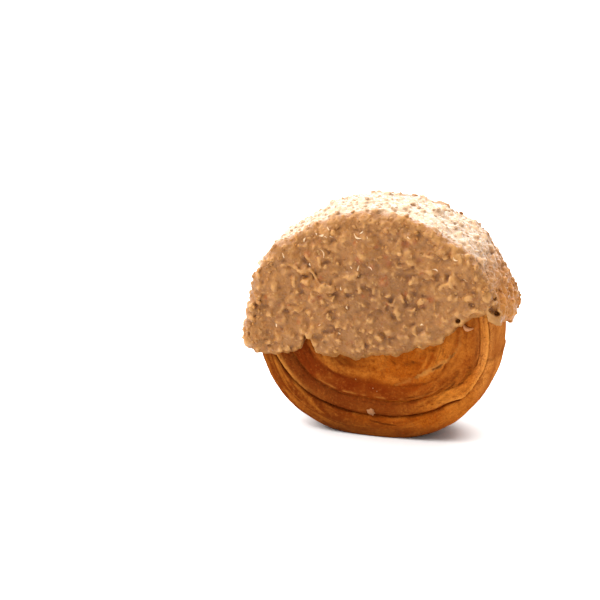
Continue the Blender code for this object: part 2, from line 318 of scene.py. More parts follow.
def face_profile(phi, side):
    """Place, height, slide and looks of each ring of one face, from its middle outwards."""
    wobble = Noise(11)
    detail = Noise(12 + side)
    ring = round_points(phi, side * 5.7)
    places = groove_places(phi, wobble)
    low_part = np.cos(phi - math.radians(5)) ** 2 * (np.cos(phi) > 0)
    steep = smooth((np.abs(np.degrees(phi)) - 30) / 40)
    depths = [
        depth
        * (1 + 0.25 * detail(ring + number * 2.7, 0.5) + 0.15 * detail(ring - number * 4.1, 0.12))
        * (1 - (1 - kept) * low_part)
        * (1 - lost * steep)
        for number, (depth, kept, lost) in enumerate(zip(GROOVE_DEPTHS, KEPT_AT_BOTTOM, LOST_AT_SIDES))
    ]
    wall_start = 0.68 + 0.08 * steep
    rows = []

    def row(place, height, slide=0.0, ridge=0.0, turn=0.0):
        rows.append([value + 0 * phi for value in (place, height, slide, ridge, turn)])

    last = len(GROOVE_DEPTHS) - 1
    for step in range(1, CENTRE_STEPS + 1):
        part = step / CENTRE_STEPS
        row(places[last] * part, -depths[last] * smooth((part - 0.7) / 0.3), turn=last + 1 + (1 - part))
    for number in range(last, 0, -1):
        inner, outer = places[number], places[number - 1]
        for part in LAYER_STEPS:
            fall = depths[number] * math.exp(-part / 0.20) * (1 - part)
            rounded = np.clip((part - wall_start) / (1 - wall_start), 0, 1)
            wall = depths[number - 1] * (1 - np.sqrt(1 - rounded**2))
            ragged = 0.5 + 0.5 * detail(ring + number, 0.03)
            lip = hump((part - wall_start - 0.05) / 0.2)
            height = -fall - wall + 0.45 * MM * math.sin(math.pi * part) + 0.25 * MM * lip * steep
            slide = lip * (0.2 + 0.35 * ragged) * MM * np.clip(depths[number - 1] / (1.4 * MM), 0, 1.4)
            pale = lip * steep * (number == 1)
            patchy = smooth(detail(ring - number, 0.16) * 2 + 0.5)
            thin = 0.6 * hump((part - wall_start - 0.10) / 0.12) * patchy
            pale = pale + thin * (1 - steep) * (number == 2) * (side < 0)
            row(inner + (outer - inner) * part, height, slide, pale, number + 1 - part)
    for step in range(1, BAND_STEPS + 1):
        part = (step / BAND_STEPS) ** 1.35
        fall = 0.55 * math.exp(-part / 0.45) + 0.45 * math.exp(-part / 0.08)
        row(places[0] + (1 - places[0]) * part, -depths[0] * fall * (1 - part), turn=1 - part)
    return np.array(rows)


TORN = Noise(43)


def carve(points, heights, line, half_width, depth, lip, torn):
    """Lowers heights along a line on a face. The line and the sizes are those of a mark, in mm.

    It returns how much each point lies in the cut, and the heights.
    """
    corners = np.array(line) * MM
    total = np.linalg.norm(np.diff(corners, axis=0), axis=1).sum()
    nearest = np.full(heights.shape, 1.0)
    along = np.zeros(heights.shape)
    gone = 0.0
    spots = np.stack([points[..., 0], points[..., 2] - MIDDLE_HEIGHT], axis=-1)
    for start, end in zip(corners, corners[1:]):
        way = end - start
        length = np.linalg.norm(way)
        share = np.clip(((spots - start) @ way) / length**2, 0, 1)
        off = np.linalg.norm(spots - start - share[..., None] * way, axis=-1)
        closer = off < nearest
        nearest = np.where(closer, off, nearest)
        along = np.where(closer, (gone + share * length) / total, along)
        gone += length
    nearest = np.abs(nearest + torn * MM * (TORN(points, 2.2 * MM) + 0.7 * TORN(points, 0.9 * MM)))
    narrow = half_width * MM * (0.25 + 0.75 * np.sin(np.pi * np.clip(along, 0.02, 0.98)) ** 0.7)
    inside = hump(nearest / (narrow * 1.6))
    rim = hump((nearest - narrow * 1.7) / narrow)
    return inside, heights - depth * MM * inside + lip * MM * rim


def dough_side(phi, side):
    """The rings of one half of the dough, from the face's middle to the rim's: points and looks."""
    rows = face_profile(phi, side)
    places, heights, slides, ridges, turns = rows.transpose(1, 0, 2)
    columns = np.broadcast_to(phi, places.shape)
    reach = outline(columns) - EDGE_RADIUS
    over = over_edge(columns)
    stations = side * (3 - places - over * np.clip((places - 0.70) / 0.28, 0, 1) ** 2)
    points = surface_points(columns, stations)
    radius = places * reach
    # Thin layers that show as ripples and short slits along the spiral, most of all at the sides.
    layers = Noise(21 + side)
    patch = Noise(31 + side)
    ripple = layers(np.stack([radius / (1.1 * MM), columns * 5, 0 * radius + side * 3], axis=-1), 1.0)
    slit = layers(np.stack([radius / (0.9 * MM), columns * 6, 0 * radius + side * 7], axis=-1), 1.0)
    flaky = smooth((np.abs(points[..., 0]) - 10 * MM) / (22 * MM))
    flaky = np.clip(0.25 + flaky + 0.7 * patch(points, 12 * MM), 0, 1.2)
    soft = np.clip((1 - places) / 0.1, 0, 1)
    cuts = smooth((slit - 0.30) / 0.25) * flaky * soft
    beside = smooth((np.abs(points[..., 0]) - 30 * MM) / (9 * MM))
    heights = heights + ripple * (0.20 + 0.14 * beside) * MM * flaky * soft - 0.30 * MM * cuts
    heights = heights + 0.45 * MM * patch(points, 13 * MM) * soft + 0.15 * MM * patch(points, 5.5 * MM) * soft
    grainy = smooth((places - 0.66) / 0.08)
    heights = heights + 0.10 * MM * patch(points, 3.4 * MM)
    heights = heights + (0.04 + 0.07 * grainy) * MM * patch(points, 1.4 * MM)
    crumb = np.zeros(places.shape)
    # Painted shade in the slits along the spiral. The marks below add painted shade in their creases.
    crease_shade = 0.35 * cuts
    if side < 0:
        cut, heights = carve(points, heights, CRACK, 1.25, 0.8, 0.2, 0.6)
        crumb = 0.8 * cut
        crease_shade = crease_shade * (1 - np.clip(cut * 3, 0, 1))
        for *form, pale, shade in MARKS:
            cut, heights = carve(points, heights, *form)
            crumb = np.maximum(crumb, pale * cut)
            crease_shade = np.maximum(crease_shade, shade * cut)
    face = surface_points(columns, stations, heights, slides)
    face_looks = (flaky, radius, ridges, crumb, crease_shade, turns, -heights)
    # The rounded edge and the rim, where the strip ends with a step.
    edge = over_edge(phi)
    steps = [2 - edge - (1 - edge) * (step + 1) / EDGE_STEPS for step in range(EDGE_STEPS)]
    steps += [1 - (step + 1) / RIM_STEPS + 0 * phi for step in range(RIM_STEPS)]
    station = side * np.array(steps)
    columns = np.broadcast_to(phi, station.shape)
    rough = Noise(41)
    bare = surface_points(columns, station)
    beyond = columns - STRIP_END - 0.035 * rough(bare * [0, 1, 0], 7 * MM)
    past = smooth(beyond / math.radians(1.2) + 0.5)
    fall = STRIP_STEP * past * (1 - smooth(beyond / STRIP_FADE))
    lift = -fall + 0.25 * MM * rough(bare, 10 * MM) + 0.07 * MM * rough(bare, 2.6 * MM)
    rim = surface_points(columns, station, lift)
    blank = np.zeros(station.shape)
    across = outline(columns) + 8 * MM * (2 - np.abs(station))
    # Painted shade along the step where the strip ends.
    step_shade = hump(beyond / math.radians(1.1)) * 0.5
    rim_looks = (blank + 0.6, across, blank, blank, step_shade, blank, fall)
    looks = {name: np.concatenate(pair) for name, *pair in zip(CRUST_LOOKS, face_looks, rim_looks)}
    return np.concatenate([face, rim]), looks


# Lines on the front face, as (x, height above the disc's middle) in mm. A flake also has half its width and
# its depth.
CRACK = ((19.6, -17.9), (23.9, -15.1), (27.3, -13.2), (31.5, -9.9), (35.6, -6.0))
PRICKED_LINE = (
    (7.6, -11.2), (9.2, -11.9), (11.0, -12.4), (12.6, -12.7), (14.2, -12.6), (16.4, -12.0), (18.6, -10.9),
)
FLAKE_LINES = (
    (((14.0, -27.4), (21.0, -26.2), (27.0, -23.4)), 0.5, 0.6),
    (((28.0, -24.0), (34.0, -19.0), (38.6, -12.6)), 0.35, 0.5), (((35.4, -17.0), (39.2, -12.4)), 0.3, 0.5),
    (((39.6, -13.6), (43.0, -10.4)), 0.3, 0.5),
    (((41.5, -15.0), (44.8, -7.0), (45.4, -1.0), (44.7, 9.0)), 0.4, 0.4),
    (((46.6, -10.5), (47.9, -4.4), (47.6, 2.0), (47.0, 9.0)), 0.4, 0.4),
    (((38.8, -7.0), (41.0, 0.0), (40.8, 6.0)), 0.3, 0.4),
    (((20.0, -32.0), (28.0, -27.0), (34.5, -20.6), (38.5, -14.5)), 0.4, 0.45),
    (((5.0, -31.9), (14.0, -30.6), (23.0, -26.6)), 0.3, 0.4),
    (((30.0, -29.0), (36.0, -23.0), (40.6, -15.6), (43.2, -8.0)), 0.3, 0.4),
    (((-8.0, -30.6), (2.0, -31.8), (12.0, -31.4)), 0.3, 0.4),
    (((-16.0, -34.6), (-6.0, -36.4), (4.0, -36.8)), 0.35, 0.4),
)
# The other marks: the crack's two ends and its core, the creases of the outer band and of the strip, the
# pricked line and the flakes. Each has its line, half its width, its depth, its lip's height and how torn it
# is, in mm, and then how much it shows pale crumb and how much painted shade it gets in its cut.
MARKS = (
    (((10.5, -22.2), (14.0, -20.6), (17.0, -19.2), (20.1, -17.6)), 0.9, 0.35, 0, 0.7, 0.35, 0),
    (((34.5, -7.2), (37.8, -2.4), (38.5, 4.0)), 0.9, 0.35, 0, 0.7, 0.35, 0),
    (((26.6, -14.0), (29.0, -12.6), (30.8, -10.9)), 0.5, 1.0, 0, 0.2, 0, 0.7),
    (((-0.5, -39.6), (5.0, -40.8), (11.0, -41.0)), 0.4, 0.6, 0.3, 0, 0, 0.45),
    (((48.8, -7.6), (51.5, -8.0), (54.0, -8.3)), 0.55, 0.8, 0.15, 0, 0, 1),
    *[((start, end), 0.26, 0.6, 0, 0, 0, 0.8) for start, end in zip(PRICKED_LINE, PRICKED_LINE[1:])],
    *[(line, width, depth, 0.12, 0.25, 0, 0.25) for line, width, depth in FLAKE_LINES],
)


def make_dough(finish):
    turn = np.linspace(-math.pi, math.pi, COLUMNS, endpoint=False)
    phi = turn - (2 * LOWER_SHARE - 1) * np.sin(turn)
    front, front_looks = dough_side(phi, -1)
    back, back_looks = dough_side(phi, 1)
    rings = np.concatenate([front, back[-2::-1]])
    rows = len(rings)
    poles = surface_points(np.zeros(2), np.array([-3.0, 3.0]))
    points = np.concatenate([rings.reshape(-1, 3), poles])
    looks = {}
    for key, values in front_looks.items():
        between = np.concatenate([values, back_looks[key][-2::-1]]).reshape(-1)
        looks[key] = np.concatenate([between, [between[0], between[-1]]])
    looks["along"] = np.concatenate([np.tile(phi, rows), [0, 0]]) * HALF_WIDTH
    faces = [(first, *others[::-1]) for first, *others in quads_between(rows, COLUMNS)]
    near, far = rows * COLUMNS, rows * COLUMNS + 1
    end = (rows - 1) * COLUMNS
    for column in range(COLUMNS):
        beside = (column + 1) % COLUMNS
        faces.append([near, column, beside])
        faces.append([far, end + beside, end + column])
    dough = new_piece("baked_dough", points, faces, finish, looks)
    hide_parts("dough_roll")


# ---------------------------------------------------------------- the praline coat

GRID_STEP = 0.45 * MM
GRID_MARGIN = 7.5 * MM
COAT_INSIDE = 2.6 * MM  # how far the coat reaches into the dough's grooves
COAT_EDGE = 4.2 * MM
BAND = (-0.7 * MM, 9.6 * MM)
LIP_ROUNDING = 1.9 * MM
BLUR_STRIDES = (1, 2, 3)
FAR_AWAY = 5 * MM  # the distance that stands where nothing is near
LIFT_STEP = 0.25 * MM
LIFT_STEP_BACK = 0.12 * MM
FRONT_DEPTHS = np.arange(-30, -14, 0.1) * MM
HIDDEN_DEPTH = 1.5 * MM  # below this the coat's inner surface doesn't show
HIDDEN_THINNING = 0.9
COAT_TRIANGLES = 196000
FACE_SHARE = 0.62  # the share of strewn places that fall on the faces, where the whole roll is strewn
LEAST_HEIGHT = 2.0  # of a strewn place above the drip line, in mm


def joined(old, new, blend):
    """The lesser of two distances, rounded over where they meet."""
    share = np.clip(0.5 + 0.5 * (old - new) / blend, 0, 1)
    return old + (new - old) * share - blend * share * (1 - share)


class Field:
    """Distances from the coat's surface on a grid, below 0 inside it."""

    def __init__(self):
        reach = GRID_MARGIN + np.array([HALF_WIDTH, HALF_THICKNESS + FACE_DOME, 0])
        self.low = np.array([-reach[0], -reach[1], MIDDLE_HEIGHT - 17 * MM])
        high = np.array([reach[0], reach[1], MIDDLE_HEIGHT + HALF_HEIGHT + GRID_MARGIN])
        self.counts = np.ceil((high - self.low) / GRID_STEP).astype(int)
        self.axes = [self.low[axis] + GRID_STEP * np.arange(self.counts[axis]) for axis in range(3)]
        places = np.meshgrid(*self.axes, indexing="ij", sparse=True)
        self.disc = disc_distance(*places)
        self.band = (self.disc > BAND[0]) & (self.disc < BAND[1])
        self.points = self.low + np.argwhere(self.band) * GRID_STEP
        self.values = np.full(self.disc.shape, FAR_AWAY)
        self.nut = np.zeros(self.disc.shape, dtype=np.float32)
        self.warp = np.zeros((*self.disc.shape, 3), dtype=np.float32)
        self.blurred = None

    def part(self, middle, reach):
        """The slices of the grid round a point, and the grid's points there, bent a little."""
        first = np.clip(((middle - reach - self.low) / GRID_STEP).astype(int), 0, self.counts)
        last = np.clip(((middle + reach - self.low) / GRID_STEP).astype(int) + 2, 0, self.counts)
        box = tuple(slice(a, b) for a, b in zip(first, last))
        spots = np.meshgrid(*[self.axes[axis][box[axis]] for axis in range(3)], indexing="ij")
        return box, np.stack(spots, axis=-1) + self.warp[box]

    def add(self, middle, reach, distance, blend, nut=1.0):
        """Joins a form to the coat. distance gives the form's own distances at points."""
        box, spots = self.part(middle, reach)
        if 0 in spots.shape:
            return
        old = self.values[box]
        new = distance(spots)
        self.values[box] = joined(old, new, blend)
        mark = nut * np.clip(0.6 + (old - new) / (1.0 * MM), 0, 1)
        self.nut[box] = np.maximum(self.nut[box], mark)

    def cut(self, middle, reach, distance, blend):
        """Takes a form out of the coat."""
        box, spots = self.part(middle, reach)
        if 0 not in spots.shape:
            self.values[box] = -joined(-self.values[box], distance(spots), blend)

    def blur(self):
        """The field smoothed over a few millimetres: below 0 at a surface in a hollow."""
        smoothed = self.values.astype(np.float32)
        for stride in BLUR_STRIDES:
            for axis in range(3):
                near = np.roll(smoothed, stride, axis) + np.roll(smoothed, -stride, axis)
                smoothed = 0.5 * smoothed + 0.25 * near
        self.blurred = smoothed

    def sample(self, points, grid=None):
        """The field between the grid's points."""
        grid = self.values if grid is None else grid
        scaled = np.clip((points - self.low) / GRID_STEP, 0, self.counts - 1.001)
        cell = scaled.astype(int)
        part = scaled - cell
        total = 0
        for corner in range(8):
            step = np.array([corner & 1, corner >> 1 & 1, corner >> 2 & 1])
            weight = np.prod(np.where(step, part, 1 - part), axis=-1)
            spot = cell + step
            total = total + weight * grid[spot[..., 0], spot[..., 1], spot[..., 2]]
        return total

    def on_surface(self, places):
        """Each place's height from the disc to the coat's outside, its point on the disc and its normal."""
        lifts = np.arange(0, BAND[1], LIFT_STEP)
        base = surface_points(places[:, 0], places[:, 1])
        normal = (surface_points(places[:, 0], places[:, 1], 1 * MM) - base) / MM
        spots = base[:, None] + normal[:, None] * lifts[:, None]
        outside = self.sample(spots) > 0
        first = np.where(outside.any(axis=1), outside.argmax(axis=1), len(lifts) - 1)
        return list(zip(lifts[first] - LIFT_STEP_BACK, base, normal))

    def front(self, x, height):
        """The point of the coat's front at some x and height above the middle, in mm."""
        spots = np.array([[x * MM, y, MIDDLE_HEIGHT + height * MM] for y in FRONT_DEPTHS])
        inside = self.sample(spots) < 0
        return spots[inside.argmax()]


def rim_share(points):
    """1 on the rim and the rounded edges, falling to 0 on the faces."""
    height = points[:, 2] - MIDDLE_HEIGHT
    radius = np.hypot(points[:, 0], height)
    return smooth(1 - (outline(np.arctan2(points[:, 0], -height)) - radius - 1 * MM) / (7 * MM))


def between_faces(points):
    """1 between the roll's two faces, falling to 0 at them."""
    return smooth((20 * MM - np.abs(points[:, 1])) / (6.5 * MM))


def crest_share(points):
    """1 on top of the roll between its two faces, falling to 0 at the faces and towards the sides."""
    height = points[:, 2] - MIDDLE_HEIGHT - 0.12 * points[:, 0]
    return between_faces(points) * smooth((height - 11 * MM) / (34 * MM))


def extra_thickness(points):
    """What the coat has on top of its plain thickness, before its nuts."""
    swell = Noise(51)
    on_rim = rim_share(points)
    degrees = np.degrees(np.arctan2(points[:, 0], MIDDLE_HEIGHT - points[:, 2]))
    bulges = sum(
        extra * MM * smooth(1 - np.abs(degrees - middle) / reach) for middle, extra, reach in COAT_BULGES
    )
    above = smooth((points[:, 2] - drip_height(points[:, 0], points[:, 1])) / LIP_REACH)
    full = bulges * on_rim
    full = full + 0.60 * MM * swell(points, 15 * MM) + 0.60 * MM * swell(points, 7 * MM)
    full = full + 0.30 * MM * swell(points, 3.4 * MM)
    lip = FACE_LIP + (RIM_LIP - FACE_LIP) * on_rim - COAT_THICKNESS
    return lip + (full - lip) * (0.15 + 0.85 * above)


def blob(middle, turned, sizes):
    """The distance from a soft lump."""
    mean = sizes.mean()
    return lambda spots: (np.linalg.norm((spots - middle) @ turned / sizes, axis=-1) - 1) * mean


CHUNK_FACES = 12
CHUNK_SOFTNESS = 0.08
CHUNK_ROUNDNESS = 0.45


def rough_chunk(middle, turned, sizes, draw):
    """The distance from a chopped nut: a few cut faces round its middle, softened where they meet."""
    ways = draw.normal(size=(CHUNK_FACES, 3))
    ways /= np.linalg.norm(ways, axis=1)[:, None]
    offsets = draw.uniform(0.72, 1.0, CHUNK_FACES)
    mean = sizes.mean()

    def distance(spots):
        local = (spots - middle) @ turned / sizes
        sides = local @ ways.T - offsets
        top = sides.max(axis=-1, keepdims=True)
        soft = top[..., 0] + CHUNK_SOFTNESS * np.log(np.exp((sides - top) / CHUNK_SOFTNESS).sum(axis=-1))
        round_part = np.linalg.norm(local, axis=-1) - 1.0
        return ((1 - CHUNK_ROUNDNESS) * soft + CHUNK_ROUNDNESS * round_part) * mean

    return distance


def tapered(points, radii):
    """The distance from a round rod through points, with its own radius at each."""

    def distance(spots):
        nearest = 1.0
        for start, end, first, last in zip(points, points[1:], radii, radii[1:]):
            way = end - start
            share = np.clip((spots - start) @ way / (way @ way), 0, 1)
            off = np.linalg.norm(spots - start - share[..., None] * way, axis=-1)
            nearest = np.minimum(nearest, off - first - (last - first) * share)
        return nearest

    return distance


def lying_on(normal, draw, tilt):
    """Axes for a chip that lies on the surface, turned and tilted at random."""
    spin = draw.uniform(0, math.tau)
    side = np.cross(normal, [0.31, 0.27, 0.91])
    side /= np.linalg.norm(side)
    other = np.cross(normal, side)
    long = side * math.cos(spin) + other * math.sin(spin)
    up = normal + tilt * draw.normal(size=3)
    up /= np.linalg.norm(up)
    long = long - up * (long @ up)
    long /= np.linalg.norm(long)
    return np.stack([long, np.cross(up, long), up], axis=1)


def scatter(draw, tries, spacing, stations, floor=LEAST_HEIGHT, keep=None):
    """Places on the coated part at least a spacing apart: phi, station and spacing of each.

    spacing is the least and the most, and floor the least height above the drip line, in mm. stations is the
    lowest and the highest station, of which 3 is a face's middle.
    """
    kept = []
    points = np.zeros((0, 3))
    outer_share = (3 - max(stations[0], 2)) ** 2
    inner_share = (3 - stations[1]) ** 2 if stations[1] > 2 else 0
    face_share = 0.0
    if stations[1] > 2:
        face_share = FACE_SHARE * (outer_share - inner_share) if stations[0] < 2 else 1.0
    for _ in range(tries):
        phi = draw.uniform(-math.pi, math.pi)
        side = draw.choice((-1.0, 1.0))
        if draw.random() < face_share:
            station = side * (3 - math.sqrt(draw.uniform(inner_share, outer_share)))
        else:
            station = side * draw.uniform(stations[0], min(stations[1], 2))
        apart = draw.uniform(spacing[0] * MM, spacing[1] * MM)
        spot = surface_points(np.array([phi]), np.array([station]))[0]
        if spot[2] - drip_height(spot[:1], spot[1:2])[0] < floor * MM:
            continue
        if keep and not keep(spot, draw):
            continue
        if len(points) and np.linalg.norm(points - spot, axis=1).min() < apart:
            continue
        kept.append((phi, station, apart))
        points = np.vstack([points, spot])
    return np.array(kept)


# Lumps that the photo shows on the front, as (x, height above the middle, y, length) in mm.
BIG_NUTS = (
    (42.4, 20.2, -21.0, 6.4), (49.1, 18.3, -18.6, 5.4), (40.2, 29.2, -20.1, 5.0), (35.9, 27.1, -21.3, 4.6),
    (30.5, 8.4, -21.8, 4.6), (-27.0, -2.1, -22.0, 5.0), (-40.5, -4.4, -21.2, 5.6), (-47.8, 0.2, -20.6, 4.8),
    (-21.3, 18.5, -22.2, 4.8), (-33.5, 31.0, -20.4, 5.0), (-28.0, 22.0, -22.0, 4.4),
    (-8.0, 25.0, -22.2, 4.6), (-25.0, 36.5, -19.6, 4.4), (12.0, 12.0, -22.4, 4.0), (22.0, 17.0, -22.4, 4.4),
    (51.3, 24.4, 7.8, 4.6), (48.7, 28.9, 6.4, 4.0), (52.6, 22.4, -0.2, 4.6), (54.2, 18.1, 6.1, 5.0),
    (56.3, 13.9, -1.7, 5.0), (53.5, 17.7, -9.9, 5.6), (56.3, 10.6, -4.0, 4.6), (45.5, 34.1, 6.5, 4.2),
    (42.1, 38.5, 7.3, 3.8), (54.7, 14.4, -13.8, 4.6), (44.9, 34.1, -14.4, 4.6), (53.9, 19.1, -3.6, 4.0),
    (55.8, 8.4, -3.7, 4.4), (-41.0, 38.0, -5.3, 4.6), (-52.0, 24.0, -8.0, 4.4),
)
# Pits in the coat, as (x, height above the middle, y, radius) in mm.
PITS = (
    (-48.1, 19.7, -21.5, 0.8), (-50.3, 9.0, -21.9, 1.0), (-50.9, 4.4, -22.3, 0.9),
    (-53.6, -4.0, -23.2, 1.1), (-17.2, 22.0, -22.7, 0.7), (-28.6, -3.6, -21.4, 1.2),
    (51.8, 21.9, -13.0, 1.1), (55.1, 17.8, -6.3, 1.2), (55.6, 13.2, -8.2, 1.0), (55.6, 14.3, -14.8, 0.7),
)
PIT_FORM = (0.7, 1.1, 1.5)
# Rods through (x, height above the middle, y, radius) in mm: the slot at the right edge, the hole left of it,
# the tongue between the two, the fold between the front and the rim, and the hollow below it.
SLOT = (
    ((52.9, 16.4, -23.0, 2.2), (52.3, 15.2, -19.4, 1.9)),
    ((53.7, 14.1, -20.4, 1.5), (53.0, 12.8, -16.6, 1.2)),
    ((54.0, 17.9, -22.0, 1.5), (53.4, 16.9, -18.0, 1.2)),
    ((52.9, 21.4, -22.0, 1.3), (52.0, 19.8, -17.0, 0.9)),
)
HOLE = ((37.9, 10.6, -24.0, 1.3), (37.6, 10.0, -21.4, 1.2), (38.1, 10.2, -19.8, 0.9))
TONGUE = (
    (34.5, 10.9, -21.6, 1.1), (39.0, 13.4, -21.1, 1.4), (44.0, 15.0, -21.0, 1.5), (48.8, 14.7, -20.8, 1.1),
)
FOLD = (
    (2.0, 52.0, -14.0, 0.8), (9.0, 51.4, -16.6, 2.0), (17.0, 48.8, -18.6, 2.7), (24.8, 44.8, -19.6, 2.9),
    (33.0, 39.4, -18.8, 2.4), (41.0, 33.4, -17.2, 1.2),
)
HOLLOW = (
    (4.0, 50.2, -22.6, 1.2), (13.0, 48.4, -22.8, 2.0), (20.5, 45.2, -23.2, 2.3), (27.0, 40.8, -23.6, 1.4),
)


def in_disc(x, height, y):
    """The point at some x, height above the disc's middle and y, in mm."""
    return np.array([x, y, height]) * MM + [0, 0, MIDDLE_HEIGHT]


def rod(corners, radii, spare):
    """A bent rod's middle, its reach and its distances."""
    middle = np.mean(corners, axis=0)
    reach = max(np.linalg.norm(corner - middle) for corner in corners) + spare
    return middle, reach, tapered(corners, radii)


def named_rod(line):
    """A rod of the tables above."""
    return rod([in_disc(*spot[:3]) for spot in line], [spot[3] * MM for spot in line], 6 * MM)


# Shavings of nut on the front under the glaze, as lines of (x, height above the middle) in mm.
SHAVINGS = (
    ((-5.0, 30.7), (-5.4, 26.6), (-10.4, 25.0), (-16.0, 22.8)),
    ((-31.8, 26.4), (-26.4, 27.0), (-21.5, 21.0)), ((-40.2, 27.0), (-35.4, 28.8), (-30.0, 26.6)),
    ((-20.6, 8.4), (-17.0, 11.1), (-13.3, 12.0)), ((-23.5, 19.2), (-20.0, 21.2), (-17.8, 18.4)),
    ((21.6, 36.4), (24.2, 38.2), (26.6, 39.2)), ((14.9, 28.6), (18.7, 31.0), (23.9, 30.4)),
    ((30.0, 24.5), (33.5, 26.0), (36.0, 23.4)), ((-36.0, 6.5), (-32.5, 8.6), (-29.5, 7.0)),
    ((3.5, 15.2), (6.8, 16.4), (9.5, 14.6)),
)


def shaving(field, line, thick):
    """A bent ridge along a line on the front."""
    swells = [math.sin(math.pi * (step + 0.5) / len(line)) for step in range(len(line))]
    radii = [thick * (0.45 + 0.55 * swell) for swell in swells]
    return rod([field.front(*place) for place in line], radii, 3 * MM)


def curl(spot, normal, draw):
    """A thin bent ridge on the coat, such as a shaving of nut under its skin leaves."""
    turned = lying_on(normal, draw, 0.1)
    long, across = turned[:, 0], turned[:, 1]
    length = draw.uniform(1.6, 4.2) * MM
    bend = draw.uniform(-0.5, 0.5) * length
    rise = draw.uniform(-0.1, 0.35) * MM
    shares = np.linspace(-0.5, 0.5, 5)
    heights = rise - 0.35 * MM + 0.4 * MM * np.cos(shares * math.pi)
    corners = [
        spot + long * length * share + across * bend * 4 * share * share + normal * height
        for share, height in zip(shares, heights)
    ]
    thick = draw.uniform(0.28, 0.55) * MM
    radii = [thick * 0.5, thick, thick * 1.1, thick, thick * 0.45]
    return spot, length + 2 * MM, tapered(corners, radii)


CALM_OFF_MIDDLE = 6 * MM  # how far right of a face's middle and above it the coat is calmest
CALM_RADIUS = 12 * MM
CALM_FADE = 26 * MM


def busy(spot):
    """How crowded the nuts are at a place: 0 in the middle of a face, where the skin is smoother, to 1."""
    off = math.hypot(spot[0] - CALM_OFF_MIDDLE, spot[2] - MIDDLE_HEIGHT - CALM_OFF_MIDDLE)
    return smooth((off - CALM_RADIUS) / CALM_FADE)


def add_lumps(field):
    """Soft swellings, chopped nuts under the coat's skin, and finer grit on the rim."""
    draw = np.random.default_rng(61)
    crowd = Noise(63)

    def in_crowd(spot, draw):
        return draw.random() < 0.25 + 0.4 * busy(spot) + 1.3 * crowd(spot[None], 14 * MM)[0]

    def place(places, share, flat, sink, tilt, blend, form, nut):
        for (_, _, apart), (lift, base, normal) in zip(places, field.on_surface(places)):
            length = apart * draw.uniform(*share)
            sizes = length * np.array([1.0, draw.uniform(0.6, 0.9), draw.uniform(*flat)])
            turned = lying_on(normal, draw, tilt)
            middle = base + normal * (lift - sizes[2] * draw.uniform(*sink))
            field.add(middle, length * 1.7, form(middle, turned, sizes), blend * MM, nut=draw.uniform(*nut))

    def chunk(middle, turned, sizes):
        return rough_chunk(middle, turned, sizes, draw)

    field.add(*named_rod(FOLD), 1.5 * MM, nut=0.3)
    field.add(*named_rod(TONGUE), 1.0 * MM, nut=0.0)
    field.cut(*named_rod(HOLLOW), 2.5 * MM)
    soft = scatter(draw, 1300, (4.5, 8.0), (0, 3), floor=3)
    place(soft, (0.35, 0.60), (0.35, 0.60), (0.40, 0.75), 0.3, 1.8, blob, (0.1, 0.5))
    nuts = scatter(draw, 3400, (2.6, 5.2), (0, 3), floor=2.2)
    place(nuts, (0.38, 0.60), (0.50, 0.80), (0.50, 1.1), 0.6, 1.1, chunk, (0.4, 1.0))
    bits = scatter(draw, 9000, (1.5, 3.2), (1.0, 3), floor=1.2, keep=in_crowd)
    place(bits, (0.36, 0.64), (0.40, 0.75), (0.2, 0.9), 0.8, 0.5, chunk, (0.2, 0.9))
    grit = scatter(draw, 3600, (1.8, 3.4), (0, 1.6), floor=1.4)
    place(grit, (0.42, 0.70), (0.35, 0.60), (0.1, 0.8), 0.3, 0.7, blob, (0.2, 0.9))
    curls = scatter(draw, 900, (4.0, 9.0), (0, 3), floor=2.5)
    for lift, base, normal in field.on_surface(curls):
        field.add(*curl(base + normal * lift, normal, draw), 0.7 * MM, nut=draw.uniform(0.3, 0.9))
    for line in SHAVINGS:
        field.add(*shaving(field, line, draw.uniform(0.6, 0.85) * MM), 0.5 * MM, nut=0.7)
    for x, height, y, length in BIG_NUTS:
        middle = in_disc(x, height, y)
        normal = np.array([x * 0.2, y, height * 0.1]) if y < -16 else np.array([x, 0, height])
        normal /= np.linalg.norm(normal)
        sizes = length * MM * 0.5 * np.array([1.0, draw.uniform(0.7, 0.9), draw.uniform(0.55, 0.8)])
        turned = lying_on(normal, draw, 0.3)
        field.add(middle, length * MM, rough_chunk(middle, turned, sizes, draw), 0.9 * MM)


def add_pits(field):
    """Cuts the pits, the slot and the hole."""
    for x, height, y, radius in PITS:
        middle = in_disc(x, height, y)
        sizes = radius * MM * np.array(PIT_FORM)
        field.cut(middle, 5 * MM, blob(middle, np.eye(3), sizes), 0.9 * MM)
    for line in SLOT:
        field.cut(*named_rod(line), 0.5 * MM)
    field.cut(*named_rod(HOLE), 0.9 * MM)


